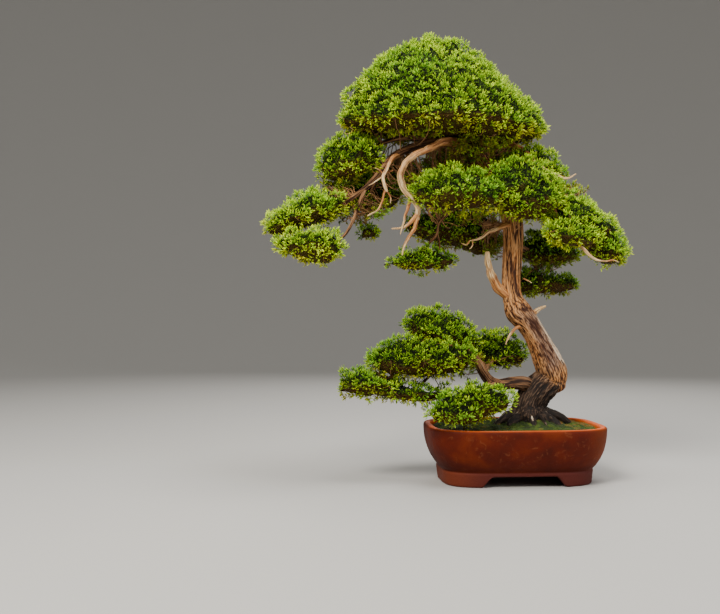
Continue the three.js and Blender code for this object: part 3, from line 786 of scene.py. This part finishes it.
# the pot's section as [inset, level]: underside, foot, wall, rim, inside
potSection = [
    [60, 25], [51, 25], [48.8, 23], [48.2, 12], [48, 1.6], [46.4, 0], [30, 0], [27.8, 1], [27, 4],
    [25.6, 14], [24.6, 22.6], [24.2, 25.2], [24.8, 27.0], [25.8, 28.2], [25.2, 29.8], [22.6, 32.6],
    [19, 37], [15, 43.4], [11.5, 50], [7.4, 59.6], [4.2, 69.6], [1.9, 80.6], [0.7, 91], [0.1, 99], [0, 104],
    [0.4, 107.2], [2.0, 109.2], [4.6, 110], [9, 109.9], [11.4, 109.2], [12.8, 107.4], [13.4, 104],
    [14.5, 79], [20, 57], [31, 43.5], [42, 39], [60, 39],
]


# Superellipse |x/a|^p + |y/b|^p = 1, drawn in by an inset.
# The reach on a bearing is (|cos/a|^p + |sin/b|^p)^(-1/p).
def outline(inset, turn):
    halfLength = potLook["halfLength"] - inset
    halfWidth = potLook["halfWidth"] - inset
    bearing = np.arctan2(halfWidth * np.sin(turn), halfLength * np.cos(turn))
    power = potLook["outlinePower"]
    reach = np.abs(np.cos(bearing) / halfLength) ** power + np.abs(np.sin(bearing) / halfWidth) ** power
    reach = reach ** (-1 / power)
    return reach * np.cos(bearing), reach * np.sin(bearing)


def buildPot():
    section = np.array(potSection, float)
    fine, _, _ = smoothPath(np.column_stack([section, np.zeros((len(section), 2))]), 2.5)
    inset, level = fine[:, :1], fine[:, 1:2]
    turn = fullTurn(potLook["around"])[None, :]
    x, y = outline(inset, turn)
    z = np.repeat(level, potLook["around"], axis=1)
    # the wall's outside: past the underside's first rows, short of the inside's, and clear of the floor
    row = np.arange(len(fine))[:, None]
    outer = (row > 8) & (inset < 34) & (row < len(fine) * 0.66)
    # the maker's hand: soft flats, and low scraped ridges that lean along the wall
    where = np.stack([x, y, z], axis=-1)
    flats = noise(where / 34) + 0.5 * noise(where / 13 + 5)
    scrapes = ridgedNoise(where @ np.diag([1 / 30, 1 / 30, 1 / 7]) + 3) ** 6
    marks = potLook["handMarks"] * (flats + 0.9 * scrapes) * outer
    size = np.hypot(x, y)
    x, y = x * (1 + marks / size), y * (1 + marks / size)
    # the gap between the feet: nothing of the foot hangs below the arch
    arch = smoothStep(potLook["archLow"] + 1, potLook["archHigh"] - 1, np.abs(x)) ** 0.8
    arch = potLook["archHeight"] * arch
    z = np.where(z < potLook["archHeight"] + 1, np.maximum(z, arch + (z / 60)), z)
    skin = closedSkin(np.stack([x, y, z], axis=-1))
    inside = (np.arange(len(fine)) > np.argmax(fine[:, 1]))[:, None]
    # the rim's top face and the inside, painted bright orange: partly the clay's own tone, partly a painted
    # highlight
    skin["rim"] = skinValues(np.where(inside, 1.0, smoothStep(108.8, 110.0, level)) + 0 * turn)
    pot = addMesh("potBody", skin)
    for side in (-1, 1):
        cutDrain(pot, side * potLook["drainAt"])
    return pot


# A drain hole through the floor, cut by a round bar
def cutDrain(pot, across):
    turn = fullTurn(potLook["drainSides"])
    level = np.array(potLook["drainLevels"])[:, None]
    radius = potLook["drainRadius"]
    x = across + radius * np.cos(turn) + 0 * level
    y = radius * np.sin(turn) + 0 * level
    bar = addMesh("bar", closedSkin(np.stack([x, y, level + 0 * x], axis=-1)))
    cut = pot.modifiers.new("drain", "BOOLEAN")
    cut.operation = "DIFFERENCE"
    cut.object = bar
    applyModifiers(pot)
    bpy.data.objects.remove(bar)


def applyModifiers(piece):
    solved = piece.evaluated_get(bpy.context.evaluated_depsgraph_get())
    whole = bpy.data.meshes.new_from_object(solved)
    piece.modifiers.clear()
    piece.data = whole


# Unglazed clay: orange on the rim, partly its own tone and partly a painted highlight, painted light at the
# right end, darker and redder down the wall as painted shade, brown at the foot, with rubbed patches
def clayFinish():
    clay = Finish("unglazedClay", 0.7, Specular_IOR_Level=0.14)
    where = clay.place()
    height = clay.add("SeparateXYZ", None, {0: where}, 2)
    cloud = clay.noise(where, 0.055, 3.0, 0.55, 0.3)
    speck = clay.noise(where, 0.0022, 2.0, 0.7)
    rub = clay.noise(where, 0.016, 5.0, 0.65, 1.2)
    wall = clay.ramp(cloud, [
        (0.30, (0.054, 0.0050, 0.0006)), (0.50, (0.088, 0.0080, 0.0009)), (0.68, (0.135, 0.0180, 0.0022))])
    across = clay.add("SeparateXYZ", None, {0: where}, 0) - float(potMiddle[0])
    # painted light: the wall turns lighter and more orange towards the pot's right end
    wall = clay.mix(clay.between(across, 0.105, 0.172) * 0.45, wall, (0.26, 0.055, 0.008))
    rubbed = clay.mix(clay.between(rub, 0.56, 0.72) * 0.42, wall, (0.20, 0.060, 0.022))
    shaded = clay.mix(clay.between(height, 0.062, 0.034) * 0.45, rubbed, (0.042, 0.0036, 0.0008))
    footTone = clay.mix(clay.between(across, -0.06, -0.15), (0.080, 0.0150, 0.0110), (0.150, 0.0300, 0.0120))
    foot = clay.mix(clay.between(height, 0.030, 0.026), shaded, footTone)
    # painted highlight, partly the clay's own tone: bright orange on the rim's top face and the inside
    rim = clay.mix(clay.value("rim"), foot, (0.62, 0.105, 0.012))
    clay.colour(clay.mix(clay.between(speck, 0.62, 0.72) * 0.35, rim, (0.050, 0.008, 0.003)))
    clay.roughness(cloud * 0.25 + speck * 0.15 + 0.45)
    clay.bump(speck * 0.4 + rub, 0.0012, 0.6)
    return clay


# Soil and moss

mossLook = {
    "around": 280,
    "ringsOut": 64,
    "cushions": 760,
    "cushionReach": (166, 112),
    "cushionRadius": (6.0, 19.0),
    "cushionHeight": (1.6, 5.4),
    "tufts": 9000,
    "tuftHeight": (0.0012, 0.0030),
    "tuftFoot": 0.00055,
    "seed": 23,
}


# Moss cushions: the height at a point is the most of h (1 - (d / r)^2) over the cushions near it.
def cushionField(points, draw):
    count = mossLook["cushions"]
    middles = np.stack([draw.uniform(-reach, reach, count) for reach in mossLook["cushionReach"]], axis=-1)
    radii = draw.uniform(*mossLook["cushionRadius"], count)
    tall = draw.uniform(*mossLook["cushionHeight"], count)
    tones = draw.uniform(0, 1, count)
    best = np.full(len(points), -1.0)
    tone = np.zeros(len(points))
    wobble = 0.22 * noise(np.column_stack([points / 5.0, np.zeros(len(points))]))
    for middle, radius, top, hue in zip(middles, radii, tall, tones):
        near = np.abs(points - middle).max(axis=1) < radius * 1.3
        away = np.linalg.norm(points[near] - middle, axis=1) / radius + wobble[near]
        height = top * (1 - away ** 2)
        higher = height > best[near]
        chosen = np.flatnonzero(near)[higher]
        best[chosen] = height[higher]
        tone[chosen] = hue
    return best, tone


def buildMossBed():
    draw = np.random.default_rng(mossLook["seed"])
    turn = fullTurn(mossLook["around"])[None, :]
    share = np.linspace(0.02, 1, mossLook["ringsOut"])[:, None] ** 0.8 + 0 * turn
    wallX, wallY = outline(14.0, turn)
    x = trunkFoot[0] + share * (wallX - trunkFoot[0])
    y = trunkFoot[1] + share * (wallY - trunkFoot[1])
    flat = np.stack([x.ravel(), y.ravel()], axis=-1)
    cushion, tone = cushionField(flat, draw)
    dry = smoothStep(30, 110, flat[:, 0] + 0.4 * flat[:, 1]) * smoothStep(-90, 10, flat[:, 1])
    tone = np.clip(tone * 0.85 + 0.9 * dry - 0.1, 0, 1)
    crumbs = 0.7 * layeredNoise(np.column_stack([flat / 3.0, np.full(len(flat), 9.0)]), 2)
    mossy = smoothStep(-0.1, 1.0, cushion)
    fade = 1 - smoothStep(0.93, 1.0, share.ravel())
    level = soilLevel(x, y, share).ravel() - 1.5
    level = level + fade * (np.maximum(cushion, -0.4) * 1.15 + crumbs)
    top = np.stack([x.ravel(), y.ravel(), level], axis=-1).reshape(len(share), -1, 3)
    sides = [np.stack([*outline(inset + 0.5, turn), np.full_like(turn, height)], axis=-1)[0]
             for inset, height in ((14.2, 92), (14.5, 80), (20, 58), (31, 44.5), (60, 42.2))]
    bed = closedSkin(np.concatenate([top, np.array(sides)])[::-1])

    def onSkin(values):
        below = np.zeros((len(sides), mossLook["around"]))
        return skinValues(np.concatenate([values.reshape(len(share), -1), below])[::-1])

    bed["moss"] = onSkin(mossy)
    bed["tone"] = onSkin(tone)
    bed["tuft"] = np.zeros(len(bed["points"]))
    return addMesh("mossBed", joined([bed, mossTufts(top, mossy, tone, draw)]))


# Tufts stand on the moss: a blade is four corners, a tip over three feet
def mossTufts(top, mossy, tone, draw):
    ground = top.reshape(-1, 3)
    offWall = np.arange(len(ground)) < len(ground) * 0.97
    chosen = draw.choice(np.flatnonzero((mossy > 0.6) & offWall), mossLook["tufts"])
    slide = draw.uniform(-0.001, 0.001, (len(chosen), 2))
    middle = inFrame(ground[chosen]) + np.column_stack([slide, np.full(len(chosen), -0.0004)])
    height = draw.uniform(*mossLook["tuftHeight"], len(chosen))
    turn = draw.uniform(0, 2 * math.pi, len(chosen))
    lean = draw.normal(0, 0.45, (len(chosen), 2))
    tip = middle + np.column_stack([lean * height[:, None], height])
    feet = [middle + mossLook["tuftFoot"] * np.column_stack([np.cos(side), np.sin(side), 0 * side])
            for side in (turn + third for third in fullTurn(3))]
    points = np.stack([tip, *feet], axis=1).reshape(-1, 3)
    first = np.arange(len(chosen))[:, None, None] * 4
    triangles = (first + np.array([[0, 1, 2], [0, 2, 3], [0, 3, 1], [3, 2, 1]])).reshape(-1, 3)
    return {
        "points": points,
        "quads": noQuads,
        "triangles": triangles,
        "moss": np.ones(len(points)),
        "tone": np.repeat(tone[chosen], 4),
        "tuft": np.tile([1.0, 0.2, 0.2, 0.2], len(chosen)),
    }


def mossFinish():
    moss = Finish("mossAndSoil", 0.95)
    where = moss.place()
    fine = moss.noise(where, 0.0016, 3.0, 0.7)
    cloud = moss.noise(where, 0.030, 3.0, 0.6)
    grain = moss.add("TexVoronoi", {"feature": "F1"}, {"Vector": where, "Scale": 420.0})
    earth = moss.ramp(grain, [(0.1, (0.070, 0.042, 0.026)), (0.6, (0.022, 0.014, 0.010))])
    green = moss.ramp(moss.value("tone") * 0.6 + cloud * 0.4, [
        (0.22, (0.004, 0.010, 0.001)), (0.42, (0.014, 0.036, 0.002)), (0.58, (0.055, 0.090, 0.004)),
        (0.76, (0.19, 0.070, 0.008))])
    lit = moss.mix(moss.value("tuft") * 0.45 + fine * 0.2, green, (0.11, 0.17, 0.008))
    moss.colour(moss.mix(moss.value("moss"), earth, lit))
    moss.bump(fine + grain * 0.4, 0.0016, 0.8)
    return moss


# Foliage

foliageLook = {
    "sprigPitch": 0.0123,      # distance between sprigs over a pad's surface
    "corePitch": 0.0080,
    "coreInset": 0.0065,
    "hollowDepth": 0.009,      # how far sprigs sink in the shaded hollows between tufts
    "hollowSize": 0.026,
    "swell": 0.008,            # and how far they stand out where a tuft grows
    "hang": 0.0005,            # how much less the sprigs under a pad sink
    "needles": 3,              # on each shoot
    "needleLength": (0.0052, 0.0070),
    "needleWidth": 0.0023,
    "shootReach": (0.0108, 0.0100, 0.0094, 0.0088),
    "sprigShapes": 18,
    "seed": 31,
}
# pads in the shade of others are darker, and those out at the left tip lighter
padShade = {
    "foliage_low": -0.7, "foliage_back": -1.1, "foliage_hanging": -0.8, "foliage_left_hanging": -0.7,
    "foliage_left_tip": 0.5, "foliage_left_low": 0.6,
    "foliage_front": -0.35, "foliage_left_inner": -0.5, "foliage_rear": -0.3, "foliage_left_upper": -0.15,
}


# A needle as four corners: its foot, its two edges at 0.42 of the length, set back as a keel, and its tip
def needleCorners(foot, direction, length, width):
    side = unit(np.cross(direction, np.array([0.31, 0.17, 0.93])))
    keel = np.cross(side, direction)
    middle = foot + direction * length * 0.42 - keel * width * 0.34
    edge = side * width / 2
    return np.stack([foot, middle + edge, middle - edge, foot + direction * length], axis=-2)


# A sprig: a leading shoot and three round it, each with needles that spiral up it and close in at its tip
def sprigShape(draw):
    needles, heights = [], []
    first = draw.uniform(0, 2 * math.pi)
    count = foliageLook["needles"]
    for shoot, reach in enumerate(foliageLook["shootReach"]):
        tilt = draw.uniform(0, 0.2) if shoot == 0 else draw.uniform(0.5, 0.85)
        swing = first + shoot * 2.1 + draw.uniform(-0.35, 0.35)
        axis = np.array([math.sin(tilt) * math.cos(swing), math.sin(tilt) * math.sin(swing), math.cos(tilt)])
        place = np.linspace(0.35, 1, count)
        around = np.arange(count) * 2.4 + draw.uniform(0, 6)
        lean = 0.62 - 0.5 * place
        across = unit(np.cross(axis, np.array([0.6, -0.5, 0.2])))
        beside = np.cross(axis, across)
        sideways = roundAbout(across, beside, around)
        direction = unit(axis * np.cos(lean)[:, None] + sideways * np.sin(lean)[:, None])
        length = draw.uniform(*foliageLook["needleLength"], count)[:, None]
        foot = axis * reach * (place * 0.62)[:, None]
        needles.append(needleCorners(foot, direction, length, foliageLook["needleWidth"]))
        edge = place * 0.5 + 0.2
        heights.append(np.stack([place * 0.4, edge, edge, place * 0.35 + 0.65], axis=-1))
    return np.concatenate(needles).reshape(-1, 3), np.concatenate(heights).ravel()


# A pad's own solid as an even skin: its loose triangles merged, then remeshed and relaxed
def evenSkin(node, pitch, relax):
    copy = bpy.data.objects.new("skin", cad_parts[node].data.copy())
    bpy.context.scene.collection.objects.link(copy)
    weld = copy.modifiers.new("weld", "WELD")
    weld.merge_threshold = 0.00005
    remesh = copy.modifiers.new("remesh", "REMESH")
    remesh.mode = "VOXEL"
    remesh.voxel_size = pitch
    relaxed = copy.modifiers.new("relax", "SMOOTH")
    relaxed.factor = 0.5
    relaxed.iterations = relax
    applyModifiers(copy)
    mesh = copy.data
    points = np.zeros(len(mesh.vertices) * 3, np.float32)
    mesh.vertices.foreach_get("co", points)
    normals = np.zeros(len(mesh.vertices) * 3, np.float32)
    mesh.vertex_normals.foreach_get("vector", normals)
    corners = np.zeros(len(mesh.loops), np.int32)
    mesh.loops.foreach_get("vertex_index", corners)
    bpy.data.objects.remove(copy)
    points, normals = (row.reshape(-1, 3).astype(float) for row in (points, normals))
    return points, unit(normals), corners.reshape(-1, 4)


sprigFaces = np.array([[0, 1, 3], [0, 3, 2], [1, 2, 3], [0, 2, 1]])


# Sprigs set on points, each turned so that its leading shoot looks along lead
def plantSprigs(shapes, points, lead, shade, warm, draw):
    across = unit(np.cross(lead, unit(draw.normal(0, 1, points.shape))))
    beside = np.cross(lead, across)
    size = draw.uniform(0.85, 1.2, len(points))
    kind = draw.integers(0, len(shapes), len(points))
    skins = []
    for index, (corners, heights) in enumerate(shapes):
        chosen = kind == index
        frameOf = np.stack([across[chosen], beside[chosen], lead[chosen]], axis=1)
        turned = np.einsum("kc,ncd->nkd", corners, frameOf)
        placed = points[chosen][:, None] + turned * size[chosen][:, None, None]
        count, needles = chosen.sum(), len(corners) // 4
        first = np.arange(count * needles)[:, None, None] * 4
        skins.append({
            "points": placed.reshape(-1, 3),
            "quads": noQuads,
            "triangles": (first + sprigFaces).reshape(-1, 3),
            "tip": np.tile(heights, count),
            "shade": np.repeat(shade[chosen], len(corners)),
            "warm": np.repeat(warm[chosen], len(corners)),
            "core": np.zeros(count * len(corners)),
        })
    return skins


def shadeOf(node):
    return sum(value for start, value in padShade.items() if node.startswith(start))


def buildPad(node, number, shapes):
    draw = np.random.default_rng(foliageLook["seed"] + number)
    points, normals, _ = evenSkin(node, foliageLook["sprigPitch"], 3)
    keep = draw.uniform(0, 1, len(points)) < 0.86 + 0.2 * smoothStep(-0.85, -0.3, normals[:, 2])
    points, normals = points[keep], normals[keep]
    slide = draw.normal(0, foliageLook["sprigPitch"] * 0.33, points.shape)
    points = points + slide - normals * np.sum(slide * normals, axis=1, keepdims=True)
    hollow = smoothStep(-0.02, -0.4, noise(points / foliageLook["hollowSize"] + number))
    under = smoothStep(0.0, -0.6, normals[:, 2])
    tuft = smoothStep(0.1, 0.5, noise(points / 0.03 + number + 50))
    sink = hollow * foliageLook["hollowDepth"] + 0.003
    sink = sink - under * foliageLook["hang"] - tuft * foliageLook["swell"]
    sink = sink + draw.uniform(-0.003, 0.003, len(points))
    points = points - normals * sink[:, None]
    lead = unit(normals * 0.8 + np.array([0.0, 0.0, 0.6]) + draw.normal(0, 0.28, points.shape))
    shade = draw.normal(0, 0.5, len(points)) - hollow * 1.0 + tuft * 0.4 + shadeOf(node)
    warm = smoothStep(-0.3, -0.85, normals[:, 2]) * draw.uniform(0.1, 1, len(points))
    skins = plantSprigs(shapes, points, lead, shade, warm, draw)
    skins.append(buildCore(node, number))
    whole = joined(skins)
    smooth = np.arange(len(whole["quads"]) + len(whole["triangles"])) < len(whole["quads"])
    return addMesh(node + "_sprigs", whole, smooth)


# The shaded inside of a pad, which closes the gaps between sprigs
def buildCore(node, number):
    points, normals, quads = evenSkin(node, foliageLook["corePitch"], 4)
    under = smoothStep(0.0, -0.6, normals[:, 2])
    inward = foliageLook["coreInset"] * (1 - 0.6 * under) + 0.003 * noise(points / 0.012 + number)
    return {
        "points": points - normals * inward[:, None],
        "quads": quads,
        "triangles": noTriangles,
        "tip": np.zeros(len(points)),
        "shade": noise(points / 0.02) + shadeOf(node),
        "warm": under,
        "core": np.ones(len(points)),
    }


def foliageFinish():
    leaf = Finish("juniperFoliage", 0.5, Specular_IOR_Level=0.16)
    tip = leaf.value("tip")
    shade = leaf.value("shade")
    where = leaf.place()
    cloud = leaf.noise(where, 0.055, 3.0, 0.6)
    speck = leaf.noise(where, 0.004, 2.0, 0.6)
    tone = tip + shade * 0.17 + (cloud - 0.5) * 0.5
    green = leaf.ramp(tone, [
        (0.08, (0.016, 0.036, 0.002)), (0.36, (0.090, 0.205, 0.006)), (0.64, (0.30, 0.52, 0.012)),
        (0.94, (0.68, 0.86, 0.035))])
    cool = leaf.noise(where, 0.085, 2.0, 0.5)
    green = leaf.mix(leaf.between(cool, 0.50, 0.66) * tip * 0.45, green, (0.12, 0.42, 0.025))
    warmed = leaf.mix(leaf.value("warm") * 0.55, green, (0.52, 0.32, 0.012))
    # the inside of a pad: shaded leafy cells, browner underneath
    cells = leaf.add("TexVoronoi", {"feature": "F1"}, {"Vector": where, "Scale": 1 / 0.0042})
    depth = cells + (speck - 0.5) * 0.7 - shade * 0.10
    inside = leaf.ramp(depth, [
        (0.12, (0.085, 0.170, 0.005)), (0.38, (0.026, 0.056, 0.002)), (0.62, (0.005, 0.008, 0.001))])
    inside = leaf.mix(leaf.value("warm") * 0.65, inside, (0.085, 0.036, 0.005))
    leaf.colour(leaf.mix(leaf.value("core"), warmed, inside))
    leaf.roughness(speck * 0.15 + leaf.value("core") * 0.4 + 0.4)
    leaf.bump(cells * leaf.value("core") * -1.0, 0.006, 1.0)
    return leaf


# Twigs inside and below the pads, and the shaded growth on them between the crown and the middle pads
twigLook = {
    "rings": 6,
    "sides": 3,
    "radius": (1.4, 0.4),
    "bend": 0.13,
    "padShare": 0.011,         # twigs for each point of a pad's core
    "seed": 47,
}
# ellipsoids of shaded growth as [x, y, z, half length, half depth, half height, sprigs]
innerGrowth = [
    [-70, 22, 634, 96, 44, 36, 190], [10, 14, 606, 62, 44, 44, 110], [-150, 30, 606, 70, 44, 36, 90],
    [60, 20, 560, 60, 44, 40, 90], [-60, 40, 540, 90, 50, 40, 120], [-110, 10, 224, 80, 50, 26, 70],
    [-78, -34, 654, 62, 22, 20, 90], [-50, -58, 560, 44, 24, 40, 80], [-306, 4, 532, 62, 40, 26, 110],
    [-190, 14, 580, 52, 36, 26, 60], [100, 92, 434, 60, 30, 12, 60], [-22, 64, 466, 26, 24, 30, 50],
    [-350, 10, 574, 28, 26, 18, 44], [112, 24, 566, 56, 36, 30, 60],
]


# Every twig at once: p = start + (end - start) t + bend sin(pi t) + sway sin(3 pi t), thinner at its end
def twigSkins(starts, ends, draw):
    rings, sides = twigLook["rings"], twigLook["sides"]
    t = np.linspace(0, 1, rings)[None, :, None]
    reach = np.linalg.norm(ends - starts, axis=1)[:, None, None]
    shares = (twigLook["bend"], twigLook["bend"] / 3)
    bend, sway = (draw.normal(0, share, (len(starts), 1, 3)) * reach for share in shares)
    path = starts[:, None] + (ends - starts)[:, None] * t
    path = path + bend * np.sin(math.pi * t) + sway * np.sin(3 * math.pi * t)
    forward = unit(np.gradient(path, axis=1))
    across = unit(np.cross(forward, np.array([0.30, 0.22, 0.93])))
    beside = np.cross(forward, across)
    thick, thin = twigLook["radius"]
    radius = (thick + (thin - thick) * t)[..., None]
    ring = roundAbout(across[:, :, None], beside[:, :, None], fullTurn(sides))
    grid = (path[:, :, None] + radius * ring).reshape(len(starts), -1, 3)
    points = np.concatenate([grid, path[:, :1], path[:, -1:]], axis=1)
    first = np.arange(len(starts))[:, None, None] * points.shape[1]
    skin = {
        "points": inFrame(points.reshape(-1, 3)),
        "quads": (first + ringQuads(rings, sides)).reshape(-1, 4),
        "triangles": (first + poleTriangles(rings, sides)).reshape(-1, 3),
        "grain": (points.reshape(-1, 3) * np.array([1, 1, 0.2])) * millimetre,
    }
    bleach = np.repeat(draw.uniform(0, 0.25, len(points)), points.shape[1])
    return setWoodLooks(skin, crack=0, age=0.5, bleach=bleach, grey=0)


# Where twigs can leave the wood: the middles of the branches, and of the stem above the lowest pads
def limbPoints():
    high = [row for row in stem if row[2] > 440]
    return np.concatenate([smoothPath(controls, 5)[0][:, :3] for controls in branches + [high]])


def twigStarts(ends, limbs, draw):
    away = np.linalg.norm(ends[:, None] - limbs[None], axis=2) + draw.uniform(0, 22, (len(ends), len(limbs)))
    return limbs[np.argmin(away, axis=1)]


def padTwigEnds(node, draw):
    points, normals, _ = evenSkin(node, foliageLook["corePitch"], 4)
    chance = smoothStep(0.5, -0.4, normals[:, 2])
    count = round(len(points) * twigLook["padShare"])
    chosen = draw.choice(len(points), count, replace=False, p=chance / chance.sum())
    return fromPot(points[chosen] + normals[chosen] * 0.001)


def buildTwigs(shapes):
    draw = np.random.default_rng(twigLook["seed"])
    limbs = limbPoints()
    growth = []
    for x, y, z, *half, count in innerGrowth:
        direction = unit(draw.normal(0, 1, (count, 3)))
        out = draw.uniform(0.2, 1, (count, 1)) ** 0.5
        growth.append(np.array([x, y, z]) + direction * np.array(half) * out)
    growth = np.concatenate(growth)
    ends = np.concatenate([growth] + [padTwigEnds(node, draw) for node in foliageNodes])
    starts = twigStarts(ends, limbs, draw)
    twigs = addMesh("twigs", twigSkins(starts, ends, draw))
    outward = unit(growth - starts[:len(growth)])
    lead = unit(outward + np.array([0, 0, 0.5]) + draw.normal(0, 0.3, growth.shape))
    shade = draw.normal(-1.6, 0.5, len(growth))
    warm = draw.uniform(0, 0.7, len(growth))
    planted = plantSprigs(shapes, inFrame(growth), lead, shade, warm, draw)
    return twigs, addMesh("innerGrowth", joined(planted), False)


foliageNodes = sorted(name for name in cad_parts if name.startswith("foliage_"))


def buildFoliage():
    draw = np.random.default_rng(foliageLook["seed"])
    shapes = [sprigShape(draw) for _ in range(foliageLook["sprigShapes"])]
    finish = foliageFinish()
    for number, node in enumerate(foliageNodes):
        place(buildPad(node, number, shapes), finish, "foliage", node)
    twigs, inner = buildTwigs(shapes)
    place(twigs, bark, "juniper_wood")
    place(inner, finish, "foliage")
    print("foliage built:", len(foliageNodes), "pads")


# Drainage screens keep their own solids, in dark moulded plastic
def screenFinish():
    plastic = Finish("screenPlastic", 0.45)
    mottle = plastic.noise(plastic.place(), 0.004, 3.0, 0.6)
    plastic.colour(plastic.mix(mottle, (0.010, 0.011, 0.013), (0.030, 0.032, 0.036)))
    plastic.roughness(mottle * 0.3 + 0.3)
    plastic.bump(mottle, 0.0002, 0.4)
    return plastic


addCamera()
addStudio()
print("camera and studio set")

clay = clayFinish()
place(buildPot(), clay, "clay", "pot")
print("pot built")

place(buildMossBed(), mossFinish(), "mossy_soil", "soil")
print("moss bed built")

bark = barkFinish()
place(buildTrunk(), bark, "juniper_wood", "trunk_and_branches")
place(buildBranches(), bark, "juniper_wood")
place(buildRoots(), bark, "juniper_wood")
place(buildDeadwood(), deadwoodFinish(), "juniper_wood")
print("wood built")

screenPlastic = screenFinish()
for node in ("drainage_screen_left", "drainage_screen_right"):
    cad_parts[node].data.materials.clear()
    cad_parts[node].data.materials.append(screenPlastic.material)

buildFoliage()
print("triangles added:", sum(triangleCount.values()), "most in a piece:", max(triangleCount.values()))
